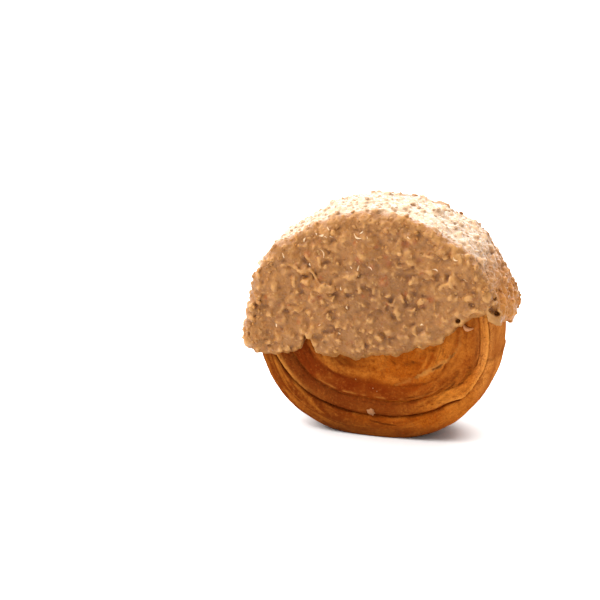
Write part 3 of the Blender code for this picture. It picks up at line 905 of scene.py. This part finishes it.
def make_field():
    """The coat: its shell, its lumps, its skin's waves, its lower edge and its pits."""
    field = Field()
    points = field.points
    bend = [Noise(seed) for seed in (54, 55, 56)]
    moves = [0.55 * MM * way(points, 3.6 * MM) + 0.28 * MM * way(points, 1.6 * MM) for way in bend]
    field.warp[field.band] = np.stack(moves, axis=-1)
    shell = disc_distance(*points.T, grown=COAT_THICKNESS, edge=COAT_EDGE)
    field.values[field.band] = shell - extra_thickness(points)
    add_lumps(field)
    # The skin's own fine waves.
    on_rim = rim_share(points)
    fine = Noise(57)
    waves = 0.26 * MM * fine(points, 2.4 * MM) + (0.10 + 0.05 * on_rim) * MM * fine(points, 1.2 * MM)
    strings = smooth(1 - np.abs(fine(points, 5.5 * MM)) / 0.10) * smooth(fine(points, 13 * MM) * 2)
    field.values[field.band] -= waves + 0.35 * MM * strings
    # The lower edge, rounded over.
    ragged = Noise(52)
    lobes = 0.45 - 1.3 * np.abs(ragged(points * [1, 1, 0.2], 5.0 * MM))
    steady = smooth((points[:, 0] - 44 * MM) / (4 * MM)) * smooth((-6 * MM - points[:, 1]) / (8 * MM))
    wavy = lobes * MM * 1.4 * (1 - 0.8 * steady) + 0.4 * MM * ragged(points, 2.0 * MM)
    below = (drip_height(points[:, 0], points[:, 1]) + wavy - points[:, 2]) * 0.85
    field.values[field.band] = -joined(-field.values[field.band], -below, LIP_ROUNDING)
    deep = field.disc <= BAND[0]
    spots = field.low + np.argwhere(deep) * GRID_STEP
    field.values[deep] = np.maximum(drip_height(spots[:, 0], spots[:, 1]) - spots[:, 2], -2 * MM)
    add_pits(field)
    field.blur()
    field.values = np.maximum(field.values, -(field.disc + COAT_INSIDE))
    return field


def surface_net(values, low, step):
    """The surface where a grid of values is 0: a vertex in each cell that it crosses, joined by quads."""
    inside = values < 0
    shape = np.array(values.shape) - 1
    corners = [(i, j, k) for i in (0, 1) for j in (0, 1) for k in (0, 1)]

    def at(grid, corner):
        return grid[tuple(slice(c, c + n) for c, n in zip(corner, shape))]

    full = sum(at(inside, corner).astype(np.int8) for corner in corners)
    crossed = (full > 0) & (full < 8)
    cells = np.argwhere(crossed)
    index = np.full(crossed.shape, -1)
    index[crossed] = np.arange(len(cells))
    at_corners = [at(values, corner)[crossed] for corner in corners]
    total = np.zeros((len(cells), 3))
    hits = np.zeros(len(cells))
    for one, start in enumerate(corners):
        for other, end in enumerate(corners):
            if other <= one or np.abs(np.subtract(start, end)).sum() != 1:
                continue
            near, far = at_corners[one], at_corners[other]
            cross = (near < 0) != (far < 0)
            share = np.where(cross, near / np.where(cross, near - far, 1), 0)
            spot = np.array(start) + share[:, None] * np.subtract(end, start)
            total += np.where(cross[:, None], spot, 0)
            hits += cross
    points = low + (cells + total / hits[:, None]) * step
    quads = []
    for axis in range(3):
        right, up = (axis + 1) % 3, (axis + 2) % 3
        first = np.take(inside, range(shape[axis]), axis=axis)
        after = np.take(inside, range(1, shape[axis] + 1), axis=axis)
        spots = np.argwhere(first != after)
        clear = (spots[:, right] > 0) & (spots[:, up] > 0)
        clear &= (spots[:, right] < shape[right]) & (spots[:, up] < shape[up])
        spots = spots[clear]
        one, other = np.eye(3, dtype=int)[right], np.eye(3, dtype=int)[up]
        ring = [index[tuple((spots - move).T)] for move in (0 * one, one, one + other, other)]
        ring = np.stack(ring, axis=1)
        outwards = first[tuple(spots.T)]
        quads.append(np.where(outwards[:, None], ring, ring[:, ::-1]))
    return points, np.concatenate(quads)


# Brown skins of nuts under the front's glaze, as (x, height above the middle, size) in mm.
SKINS = (
    (5.7, 24.7, 3.2), (7.8, 32.4, 2.2), (-5.1, 33.1, 2.6), (-27.9, 33.8, 2.4), (14.6, 41.5, 3.0),
    (20.8, 34.8, 2.2), (18.8, 42.9, 2.2), (0.3, 30.2, 2.0), (-25.4, 14.0, 2.4), (25.8, 18.4, 2.2),
)


def stains(points):
    """How much each point shows a nut's brown skin: at the named places, and at others all round."""
    draw = np.random.default_rng(76)
    uneven = Noise(77)
    places = scatter(draw, 260, (5, 12), (0, 3), floor=4)
    spots = [(spot, draw.uniform(0.7, 1.5)) for spot in surface_points(places[:, 0], places[:, 1], 3.5 * MM)]
    spots += [(in_disc(x, height, -22.5), size * 0.8) for x, height, size in SKINS]
    bent = points + 0.5 * MM * np.stack([uneven(points + shift, 1.1 * MM) for shift in (0, 0.3, 0.7)], axis=1)
    total = np.zeros(len(points))
    for spot, size in spots:
        off = np.linalg.norm(bent - spot, axis=1) / (size * MM)
        total = np.maximum(total, smooth(1.25 - off))
    return total


def make_coat(field, finish):
    """The coat's mesh, with what its finish reads."""
    points, quads = surface_net(field.values, field.low, GRID_STEP)
    disc = disc_distance(*points.T)
    above = points[:, 2] - drip_height(points[:, 0], points[:, 1])
    looks = {
        "nut": field.sample(points, field.nut) * (disc > 0),
        # Just above the lower edge the cavity is raised, so the finish paints shade there.
        "cavity": -field.sample(points, field.blurred) / MM + 0.4 * (1 - smooth(above / (2.2 * MM))),
        "edge": 1 - smooth(above / (3.5 * MM)),
        "crest": crest_share(points),
        "stain": stains(points),
        "rim": between_faces(points),
    }
    coat = new_piece("praline_coat", points, quads, finish, looks)
    thin_out(coat, disc < -HIDDEN_DEPTH, COAT_TRIANGLES)
    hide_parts("nut_coat")


def thin_out(piece, hidden, most):
    """Makes a piece's hidden inner surface coarse, and then the whole light enough."""
    group = piece.vertex_groups.new(name="hidden")
    group.add(np.flatnonzero(hidden).tolist(), 1.0, "REPLACE")
    coarse = piece.modifiers.new("coarse", "DECIMATE")
    coarse.vertex_group = "hidden"
    coarse.ratio = 1 - HIDDEN_THINNING * hidden.mean()
    triangles = 2 * len(piece.data.polygons) * coarse.ratio
    light = piece.modifiers.new("light", "DECIMATE")
    light.ratio = min(1, most / triangles)
    graph = bpy.context.evaluated_depsgraph_get()
    done = bpy.data.meshes.new_from_object(piece.evaluated_get(graph))
    piece.modifiers.clear()
    piece.vertex_groups.clear()
    piece.data = done


# ---------------------------------------------------------------- bits on the coat and the crust

BIT_FORM = (6, 4, 0.2)  # a bit's sides and rings, and how uneven it is
CRUMB_FORM = (12, 9, 0.42)
WISP_SIDES = 7
WISP_RINGS = 7


class Bits:
    """Many small bits of one kind, gathered into one piece."""

    def __init__(self):
        self.points, self.faces, self.tones, self.tips = [], [], [], []

    def add(self, points, faces, tone, tips):
        """tone is one number for the whole bit, and tips says how far up each point lies."""
        self.faces += [[corner + len(self.points) for corner in face] for face in faces]
        self.points += list(points)
        self.tones += [tone] * len(points)
        self.tips += list(tips)

    def piece(self, name, finish, slot="nut_coat", crest_lit=True):
        """Makes the piece, with the looks that a bit's finish and the coat's own finish read."""
        points, tips = np.array(self.points), np.array(self.tips)
        # On the crest the finish paints light.
        crest = crest_share(points) if crest_lit else 0 * tips
        looks = {"tone": self.tones, "tip": tips, "crest": crest, "nut": self.tones}
        # A bit's foot gets a higher cavity, which the coat's finish paints as shade.
        looks.update({"cavity": 0.02 - 0.4 * tips, "rim": between_faces(points)})
        looks.update({"stain": 0 * tips, "edge": 0 * tips})
        new_piece(name, points, self.faces, finish, looks)


def knobbly(draw, sides, rings, uneven):
    """A small closed knob of radius 1 as points and faces: rings of points with two tips."""
    points = [(0, 0, -1)]
    for ring in range(1, rings):
        polar = math.pi * ring / rings
        for side in range(sides):
            turn = math.tau * (side + 0.5 * (ring % 2)) / sides
            radius = math.sin(polar)
            points.append((radius * math.cos(turn), radius * math.sin(turn), -math.cos(polar)))
    points.append((0, 0, 1))
    points = np.array(points) * draw.uniform(1 - uneven, 1 + 0.4 * uneven, (len(points), 1))
    faces = quads_between(rings - 1, sides, first=1)
    top = len(points) - 1
    for side in range(sides):
        beside = (side + 1) % sides
        faces += [(0, 1 + beside, 1 + side), (top - sides + side, top - sides + beside, top)]
    return points, faces


def chunky(thinnest, thickest):
    """Draws the proportions of a chopped bit."""
    return lambda draw: (1.0, draw.uniform(0.6, 0.9), draw.uniform(thinnest, thickest))


def flaky(draw):
    """Draws the proportions of a flake."""
    return 1.0, draw.uniform(0.55, 0.9), 0.3


def strew(name, field, finish, seed, tries, spacing, stations, sizes, shape, sink, tilt=0.4, keep=None):
    """Bits strewn on the coat. spacing and sizes are in mm, and shape draws a bit's proportions."""
    draw = np.random.default_rng(seed)
    bits = Bits()
    least, most = np.array(sizes) * MM
    for lift, base, normal in field.on_surface(scatter(draw, tries, spacing, stations, keep=keep)):
        knob, faces = knobbly(draw, *BIT_FORM)
        half = (least + (most - least) * draw.random() ** 1.6) / 2 * np.array(shape(draw))
        turned = lying_on(normal, draw, tilt)
        middle = base + normal * (lift - half[2] * draw.uniform(*sink))
        bits.add((knob * half) @ turned.T + middle, faces, draw.random(), knob[:, 2])
    bits.piece(name, finish)


# Pale wisps on the front, as the (x, height above the middle) of their two ends in mm.
WISPS = (
    ((-7.6, 44.4), (-4.2, 42.6)), ((-1.9, 43.8), (-0.6, 42.0)), ((-22.4, 36.2), (-20.6, 32.6)),
    ((-5.0, 30.7), (-5.1, 25.7)), ((-1.6, 30.3), (0.6, 29.0)), ((-9.0, 29.9), (-8.1, 28.9)),
    ((-19.3, 46.2), (-17.6, 44.5)), ((-24.9, 43.6), (-24.1, 41.8)), ((-29.2, 40.4), (-29.8, 38.4)),
    ((15.5, 45.8), (16.6, 43.8)), ((35.3, 37.8), (37.2, 36.4)), ((-13.0, 20.9), (-12.6, 19.1)),
    ((-10.3, 12.7), (-9.8, 11.0)), ((-39.0, 33.3), (-38.2, 31.1)), ((2.1, -0.3), (3.0, -2.0)),
    ((26.4, 31.5), (28.9, 30.4)), ((-18.0, 44.1), (-16.4, 41.8)), ((-21.4, 42.1), (-19.1, 41.6)),
    ((-45.1, 12.1), (-44.2, 9.5)), ((39.0, 28.0), (40.7, 26.8)),
)


def wisp(start, end, normal, draw, thick):
    """A thin bent wisp from one place on the coat to another, as rings of points and their faces."""
    shares = np.linspace(0, 1, WISP_RINGS)
    across = np.cross(end - start, normal)
    bend = draw.uniform(0.05, 0.3) * draw.choice((-1, 1))
    rise = draw.uniform(0.0, 0.25) * MM
    middles = start + (end - start) * shares[:, None]
    middles = middles + across * bend * np.sin(math.pi * shares)[:, None]
    middles = middles + normal * (rise * np.sin(math.pi * shares) - 0.05 * MM)[:, None]
    radii = thick * (0.25 + 0.75 * np.sin(math.pi * np.clip(shares, 0.05, 0.95)))
    side = across / np.linalg.norm(across)
    turns = math.tau * np.arange(WISP_SIDES) / WISP_SIDES
    ring = side * np.cos(turns)[:, None] + normal * np.sin(turns)[:, None]
    points = (middles[:, None] + ring * radii[:, None, None]).reshape(-1, 3)
    ends = [range(WISP_SIDES - 1, -1, -1), range(len(points) - WISP_SIDES, len(points))]
    return points, quads_between(WISP_RINGS, WISP_SIDES) + ends


def make_wisps(name, field, finish):
    """The wisps of the photo, and others like them all round."""
    draw = np.random.default_rng(73)
    ends = [(field.front(*start), field.front(*end), FORWARDS) for start, end in WISPS]
    for lift, base, normal in field.on_surface(scatter(draw, 34, (6, 14), (0, 3), floor=4)):
        way = lying_on(normal, draw, 0.1)[:, 0] * draw.uniform(0.6, 1.4) * MM
        middle = base + normal * lift
        ends.append((middle - way, middle + way, normal))
    bits = Bits()
    for start, end, normal in ends:
        points, faces = wisp(start, end, normal, draw, draw.uniform(0.26, 0.46) * MM)
        bits.add(points, faces, draw.random(), np.linspace(0.2, 1.0, len(points)))
    bits.piece(name, finish)


# Crumbs on the crust, as (x, height above the middle, y, size) in mm.
CRUMBS = (
    (0.2, -35.2, -18.9, 4.3), (-6.8, -21.1, -19.4, 0.7), (0.8, -24.5, -19.3, 0.6), (2.6, -25.7, -19.3, 0.6),
)
# The two ends of a small drop, as (x, height above the middle, y) in mm.
SMEAR = ((39.2, 8.1, -19.4), (43.8, 6.3, -19.3))
SMEAR_RADIUS = 1.0 * MM


def make_crumbs(name, finish):
    draw = np.random.default_rng(81)
    bits = Bits()
    for x, height, y, size in CRUMBS:
        knob, faces = knobbly(draw, *CRUMB_FORM)
        half = size * MM / 2 * np.array([1.0, draw.uniform(0.7, 0.8), draw.uniform(0.5, 0.6)])
        turned = lying_on(FORWARDS, draw, 0.1)
        bits.add((knob * half) @ turned.T + in_disc(x, height, y), faces, draw.random(), [1] * len(knob))
    bits.piece(name, finish, "dough_roll", crest_lit=False)


def make_smear(name, finish):
    ends = [in_disc(*end) for end in SMEAR]
    points, faces = wisp(*ends, FORWARDS, np.random.default_rng(82), SMEAR_RADIUS)
    bits = Bits()
    bits.add(points, faces, 0.3, [1] * len(points))
    bits.piece(name, finish, crest_lit=False)


def crowded(seed):
    """Keeps places that lie in clusters."""
    crowd = Noise(seed)
    return lambda spot, draw: draw.random() < 0.45 * busy(spot) + 1.8 * crowd(spot[None], 13 * MM)[0]


# ---------------------------------------------------------------- materials


def srgb(red, green, blue):
    """A colour given as 0 to 255 on screen, as linear light."""
    parts = [value / 255 for value in (red, green, blue)]
    return (*[part / 12.92 if part < 0.04 else ((part + 0.055) / 1.055) ** 2.4 for part in parts], 1.0)


class Finish:
    """A material and short ways to add nodes to it. colour is its colour so far."""

    def __init__(self, name):
        self.material = bpy.data.materials.new(name)
        self.material.use_nodes = True
        self.tree = self.material.node_tree
        self.place = self.node("ShaderNodeTexCoord").outputs["Object"]
        self.colour = None

    def plug(self, sockets, values):
        for key, value in values.items():
            if isinstance(value, bpy.types.NodeSocket):
                self.tree.links.new(value, sockets[key])
            else:
                sockets[key].default_value = value

    def node(self, kind, values=None, **settings):
        made = self.tree.nodes.new(kind)
        for key, value in settings.items():
            setattr(made, key, value)
        self.plug(made.inputs, values or {})
        return made

    def attributes(self, *names):
        return [self.node("ShaderNodeAttribute", attribute_name=name).outputs["Fac"] for name in names]

    def axis(self, name):
        return self.node("ShaderNodeSeparateXYZ", {0: self.place}).outputs[name]

    def noise(self, size, detail=3.0, rough=0.5, vector=None):
        values = {"Vector": vector or self.place, "Scale": 1 / size, "Detail": detail, "Roughness": rough}
        return self.node("ShaderNodeTexNoise", values).outputs["Fac"]

    def cells(self, size, output="Distance"):
        return self.node("ShaderNodeTexVoronoi", {"Vector": self.place, "Scale": 1 / size}).outputs[output]

    def between(self, value, low, high, at_high=1.0, at_low=0.0):
        """A smooth step: at_low where the value is low, at_high where it is high."""
        values = {"Value": value, "From Min": low, "From Max": high, "To Min": at_low, "To Max": at_high}
        return self.node("ShaderNodeMapRange", values, interpolation_type="SMOOTHSTEP").outputs["Result"]

    def maths(self, kind, one, other):
        return self.node("ShaderNodeMath", {0: one, 1: other}, operation=kind).outputs[0]

    def times(self, whole, *others):
        for other in others:
            whole = self.maths("MULTIPLY", whole, other)
        return whole

    def weighed(self, *parts):
        """The sum of parts, each a value and its weight."""
        first, *others = [self.times(*part) for part in parts]
        for other in others:
            first = self.maths("ADD", first, other)
        return first

    def mix(self, share, one, other):
        """A mix of two colours, each from a node or as 0 to 255 on screen."""
        one, other = [srgb(*part) if isinstance(part, tuple) else part for part in (one, other)]
        return self.node("ShaderNodeMix", {0: share, 6: one, 7: other}, data_type="RGBA").outputs[2]

    def tint(self, share, *colour):
        """Mixes a colour, as 0 to 255 on screen, into the colour so far."""
        self.colour = self.mix(share, self.colour, colour)

    def fade(self, value, low, high, most, *colour):
        """Mixes a colour in where a value nears high, by at most a share."""
        self.tint(self.between(value, low, high, most), *colour)

    def done(self, **values):
        """The material, with its colour and other values for its shader."""
        values = {key.replace("_", " "): value for key, value in values.items()}
        self.plug(self.tree.nodes["Principled BSDF"].inputs, {"Base Color": self.colour, **values})
        return self.material

    def soft_relief(self, height, distance, strength, weight, radius, scale):
        """Values for a bump, and for light that passes below the surface."""
        bump = self.node("ShaderNodeBump", {"Height": height, "Distance": distance, "Strength": strength})
        names = ("Normal", "Subsurface Weight", "Subsurface Radius", "Subsurface Scale")
        return dict(zip(names, (bump.outputs["Normal"], weight, radius, scale)))


def crust_finish():
    """Baked dough: golden, redder and darker in patches, with fine layers that run with the spiral."""
    made = Finish("baked_crust")
    flaky, across, ridge, crumb, crease_shade, turn, depth, along = made.attributes(*CRUST_LOOKS, "along")
    x, y, z = [made.axis(name) for name in "XYZ"]

    def stretched(lengthwise, crosswise):
        values = {"X": made.times(along, 1 / lengthwise), "Y": made.times(across, 1 / crosswise)}
        return made.node("ShaderNodeCombineXYZ", values).outputs[0]

    lines = made.noise(1.0, 4.0, 0.6, stretched(0.010, 0.0008))
    bands = made.noise(1.0, 3.0, 0.5, stretched(0.020, 0.0028))
    blotch = made.noise(0.012, 4.0)
    mottle = made.noise(0.0030, 4.0, 0.65)
    fine = made.noise(0.0012, 4.0, 0.65)
    made.colour = made.mix(made.between(blotch, 0.35, 0.65), (174, 90, 20), (146, 66, 12))
    # Painted shade on the left, paler on the right, and a painted highlight where a layer stands out.
    made.fade(x, 0.014, -0.018, 0.9, 94, 38, 10)
    made.fade(x, 0.026, 0.042, 0.35, 200, 122, 46)
    # Painted highlight where the surface is raised.
    made.fade(depth, 0.0001, -0.0007, 0.5, 202, 122, 44)
    made.fade(x, 0.044, 0.052, 0.5, 218, 146, 76)
    made.fade(mottle, 0.52, 0.68, 0.35, 196, 116, 44)
    made.fade(mottle, 0.48, 0.36, 0.45, 118, 52, 12)
    made.tint(made.between(made.noise(0.0007, 2.0), 0.35, 0.65, 0.0, 0.35), 110, 46, 8)
    made.tint(made.times(made.between(bands, 0.42, 0.70, 0.55), flaky), 196, 118, 42)
    made.tint(made.times(made.between(lines, 0.52, 0.72, 0.3), flaky), 118, 50, 10)
    # The low strips, then the redder band of the spiral, in patches.
    strips = made.times(made.between(turn, 1.00, 1.08), made.between(turn, 2.05, 1.90))
    made.tint(made.times(strips, made.between(x, 0.040, 0.008, 0.8)), 106, 46, 14)
    band = made.times(made.between(turn, 1.95, 2.15), made.between(turn, 3.6, 2.7))
    patches = made.times(band, made.between(blotch, 0.66, 0.46, 0.95, 0.6))
    made.tint(made.times(patches, made.between(x, 0.030, 0.002, 1.0, 0.55)), 106, 38, 8)
    made.tint(made.times(ridge, 0.6), 214, 140, 62)
    # Painted shade deep in the grooves.
    made.fade(depth, 0.0010, 0.0024, 0.6, 98, 40, 8)
    made.fade(fine, 0.54, 0.72, 0.55, 104, 42, 8)
    made.fade(fine, 0.47, 0.32, 0.16, 204, 124, 52)
    made.fade(crumb, 0.05, 0.7, 0.8, 186, 122, 56)
    # Painted shade in the slits, creases, the crack's core and along the strip's end step.
    made.tint(made.times(crease_shade, 0.75), 66, 24, 6)
    # The rim, baked in blotches, and the foot in the roll's own shade.
    off_middle = made.maths("ABSOLUTE", y, 0.0)
    on_rim = made.times(made.between(off_middle, 0.017, 0.011), made.between(turn, 0.10, 0.0))
    blotches = made.between(made.noise(0.018, 4.0, 0.6), 0.58, 0.38, 0.65, 0.1)
    made.tint(made.times(on_rim, blotches), 136, 66, 22)
    made.fade(z, 0.011, 0.001, 0.6, 88, 46, 20)
    grain = made.times(made.noise(0.0011, 3.0, 0.6), made.between(turn, 2.1, 1.9))
    pores = made.between(made.cells(0.0012), 0.0, 0.35)
    relief = made.weighed((lines, 0.6), (fine, 0.7), (mottle, 0.9), (grain, 1.2), (pores, 0.25))
    return made.done(
        Roughness=made.between(fine, 0.3, 0.7, 0.55, 0.38),
        Specular_IOR_Level=0.0,
        **made.soft_relief(relief, 0.00038, 0.9, 0.05, (1.0, 0.4, 0.15), 0.0010),
    )


# Where the painted shade on the coat's front is darkest, in mm from the disc's place on the ground.
FRONT_MIDDLE = (4.0, -23.0, 64.0)


def coat_finish():
    """Praline: a tan cream with golden nuts under its skin, with painted shade, greyer and darker, in its
    hollows.
    """
    made = Finish("praline")
    nut, cavity, crest, stain, rim, edge = made.attributes("nut", "cavity", "crest", "stain", "rim", "edge")
    cloud = made.noise(0.009, 3.0)
    mottle = made.noise(0.0030, 4.0, 0.6)
    fine = made.noise(0.0009, 4.0, 0.65)
    grains = made.cells(0.0016)
    specks = made.node("ShaderNodeSeparateColor", {"Color": made.cells(0.0023, "Color")}).outputs
    made.colour = made.mix(made.between(cloud, 0.35, 0.65), (160, 109, 59), (143, 94, 47))
    made.fade(mottle, 0.42, 0.64, 0.75, 160, 104, 50)
    made.fade(fine, 0.44, 0.68, 0.45, 120, 82, 44)
    made.tint(made.between(made.noise(0.021, 2.0), 0.38, 0.62, 0.3), 124, 80, 40)
    golden = made.mix(made.between(mottle, 0.35, 0.65), (194, 134, 66), (170, 104, 40))
    golden_share = made.times(nut, made.between(cloud, 0.3, 0.7, 0.7, 0.3))
    made.colour = made.mix(golden_share, made.colour, golden)
    # Darker in the middle of the front as painted shade, brown at nuts' skins, painted shade in hollows and
    # just above the lower edge, and a painted highlight where it stands out.
    # Painted shade over the middle of the front.
    ends = {0: made.place, 1: tuple(PLACE + np.array(FRONT_MIDDLE) * MM)}
    away = made.node("ShaderNodeVectorMath", ends, operation="DISTANCE").outputs["Value"]
    made.fade(away, 0.030, 0.006, 0.52, 122, 79, 40)
    made.tint(made.times(stain, 0.8), 146, 76, 32)
    hollow_shade = made.times(made.between(cavity, 0.04, 0.56, 0.8), made.between(crest, 0.0, 1.0, 0.1, 1.0))
    made.tint(hollow_shade, 98, 56, 25)
    # Painted highlight where the coat stands out.
    made.fade(cavity, -0.02, -0.7, 0.5, 214, 160, 96)
    # The rim's sides, paler towards the left as painted light, the brown and pale specks, and painted light
    # on the crest.
    side = made.times(rim, made.maths("SUBTRACT", 1.0, crest))
    # The sides' own tan, paler towards the left as painted light.
    side_colour_lit_left = made.mix(made.between(made.axis("X"), -0.01, 0.03), (204, 154, 104), (188, 121, 58))
    made.colour = made.mix(made.times(side, 0.5), made.colour, side_colour_lit_left)
    brown = made.times(made.between(specks[0], 0.88, 0.92), made.between(grains, 0.45, 0.2))
    made.tint(made.times(brown, 0.45), 140, 76, 32)
    light = made.times(made.between(specks[1], 0.90, 0.94), made.between(grains, 0.4, 0.15))
    made.tint(made.times(light, 0.3), 226, 178, 112)
    # Painted light: the crest paler, as if lit from above.
    made.tint(made.times(crest, 0.55), 231, 202, 168)
    dull = made.maths("MAXIMUM", made.times(side, 0.14), made.times(edge, 0.24))
    relief = made.weighed((mottle, 0.8), (fine, 0.35), (made.between(grains, 0.5, 0.0), 0.25))
    return made.done(
        Roughness=made.between(mottle, 0.35, 0.65, 0.34, 0.20),
        IOR=made.maths("SUBTRACT", made.between(crest, 0.0, 1.0, 1.42, 1.31), dull),
        Sheen_Weight=made.between(crest, 0.0, 1.0, 0.9, 0.03),
        Sheen_Roughness=0.4,
        **made.soft_relief(relief, 0.00075, 0.9, 0.08, (1.0, 0.5, 0.25), 0.0012),
    )


def bit_finish(name, pale, deep, roughness, depth=0.1, foot_shade=(134, 88, 46)):
    """Small bits, each with its own tone between two colours, with painted shade at the foot and painted
    light on the crest.
    """
    made = Finish(name)
    tone, tip, crest = made.attributes("tone", "tip", "crest")
    fine = made.noise(0.0008, 3.0)
    made.colour = made.mix(made.between(tone, 0.0, 1.0), pale, deep)
    made.fade(fine, 0.45, 0.75, 0.4, *deep)
    # Painted shade at each bit's foot.
    made.fade(tip, 0.8, 0.0, 0.85, *foot_shade)
    # Painted light on the crest.
    made.tint(made.times(crest, 0.75), 236, 204, 168)
    relief = made.soft_relief(fine, 0.0002, 0.7, depth, (1.0, 0.6, 0.35), 0.001)
    return made.done(Roughness=roughness, IOR=1.3, **relief)


# ---------------------------------------------------------------- floor, light and camera

CAMERA_AZIMUTH = math.radians(13.8)
CAMERA_ELEVATION = math.radians(17.8)
CAMERA_DISTANCE = 0.85
CAMERA_LENS = 117.3
SENSOR = 36.0
IMAGE_SIZE = 600
ROLL_PIXEL = (382.7, 320.5)  # where the disc's middle shows in the photo
AIMING_ROUNDS = 20
FLOOR_REACH = 6.0
ROOM_LIGHT = 0.5
# Soft light from above, a weak one from the left and a small one for glints. Each has its name, its strength,
# the side it comes from and its angle in degrees.
SUNS = (
    ("top", 5.6, (-0.35, 0.22, 1.0), 110),
    ("key", 0.7, (-0.9, -0.55, 1.1), 25),
    ("glint", 0.35, (-0.45, -0.45, 1.0), 6),
)
BACK_LIGHT = 12.0
BACK_PLACE = (-0.1, 1.4, 0.62)
BACK_AIM = (0, 0, 0.06)
BACK_SIZE = 1.1


def make_floor():
    mesh = bpy.data.meshes.new("floor")
    corners = [(x * FLOOR_REACH, y * FLOOR_REACH, 0) for x, y in ((-1, -1), (1, -1), (1, 1), (-1, 1))]
    mesh.from_pydata(corners, [], [(0, 1, 2, 3)])
    floor = put("floor", mesh)
    made = Finish("white_board")
    made.colour = made.mix(made.noise(0.5, 2.0), (237, 237, 236), (240, 240, 239))
    mesh.materials.append(made.done(Roughness=0.6))


def make_light(name, kind, energy, place, aim, **settings):
    data = bpy.data.lights.new(name, kind)
    data.energy = energy
    for key, value in settings.items():
        setattr(data, key, value)
    light = put(name, data)
    light.location = place
    light.rotation_mode = "QUATERNION"
    light.rotation_quaternion = (Vector(aim) - Vector(place)).to_track_quat("-Z", "Y")


def make_lights():
    world = bpy.data.worlds.new("studio")
    bpy.context.scene.world = world
    world.use_nodes = True
    background = world.node_tree.nodes["Background"].inputs
    background["Color"].default_value = (1.0, 1.0, 1.0, 1.0)
    background["Strength"].default_value = ROOM_LIGHT
    for name, energy, place, angle in SUNS:
        make_light(name, "SUN", energy, place, (0, 0, 0), angle=math.radians(angle))
    make_light("back", "AREA", BACK_LIGHT, BACK_PLACE, BACK_AIM, size=BACK_SIZE)


def make_camera():
    data = bpy.data.cameras.new("camera")
    data.lens = CAMERA_LENS
    data.sensor_width = SENSOR
    data.clip_start = 0.01
    data.clip_end = 50
    camera = put("camera", data)
    bpy.context.scene.camera = camera
    middle = Vector(PLACE) + Vector((0, 0, MIDDLE_HEIGHT))
    flat, rise = math.cos(CAMERA_ELEVATION), math.sin(CAMERA_ELEVATION)
    back = Vector((math.sin(CAMERA_AZIMUTH) * flat, -math.cos(CAMERA_AZIMUTH) * flat, rise))
    camera.location = middle + back * CAMERA_DISTANCE
    # Turned until the middle shows at its pixel.
    focal = CAMERA_LENS / SENSOR * IMAGE_SIZE
    wanted = Vector(((ROLL_PIXEL[0] - IMAGE_SIZE / 2) / focal, (IMAGE_SIZE / 2 - ROLL_PIXEL[1]) / focal, -1))
    yaw, pitch = CAMERA_AZIMUTH, math.pi / 2 - CAMERA_ELEVATION
    camera.rotation_euler = (pitch, 0, yaw)
    for _ in range(AIMING_ROUNDS):
        seen = camera.rotation_euler.to_matrix().transposed() @ (middle - camera.location)
        yaw += wanted.x - seen.x / -seen.z
        pitch -= wanted.y - seen.y / -seen.z
        camera.rotation_euler = (pitch, 0, yaw)


# ---------------------------------------------------------------- all together


def main():
    make_floor()
    make_lights()
    make_camera()
    bpy.context.scene.view_settings.view_transform = "Standard"
    make_dough(crust_finish())
    field = make_field()
    praline = coat_finish()
    make_coat(field, praline)
    chip = bit_finish("nut_chip", (206, 144, 76), (176, 112, 50), 0.4)
    skin = bit_finish("nut_skin", (150, 88, 40), (126, 68, 28), 0.3, 0.0)
    pale = bit_finish("nut_wisp", (238, 208, 172), (220, 180, 136), 0.25, foot_shade=(180, 134, 88))
    make_crumbs("crust_crumbs", bit_finish("sugar_crumb", (184, 132, 90), (154, 102, 62), 0.6, 0.0))
    make_smear("coat_smear", bit_finish("coat_smear", (186, 128, 84), (158, 98, 56), 0.35, 0.0))
    # Each kind has its seed, its tries, its spacing, its stations, its sizes, its form and how deep it sinks.
    grit, chips, bits = chunky(0.5, 0.85), chunky(0.45, 0.75), chunky(0.5, 0.8)
    strew("nut_grit", field, praline, 71, 12000, (1.3, 3.2), (0, 1.8), (1.2, 4.0), grit, (0.2, 0.8))
    strew("nut_chips", field, chip, 78, 420, (3.0, 8.0), (0, 1.7), (1.6, 3.2), chips, (0.5, 0.95))
    near = crowded(75)
    strew("nut_bits", field, praline, 74, 6400, (1.2, 3.2), (1.5, 3), (1.1, 3.0), bits, (0.5, 1.0), keep=near)
    strew("nut_skins", field, skin, 72, 80, (6, 14), (0, 3), (1.2, 2.4), flaky, (0.4, 0.8), tilt=0.15)
    make_wisps("nut_wisps", field, pale)


main()
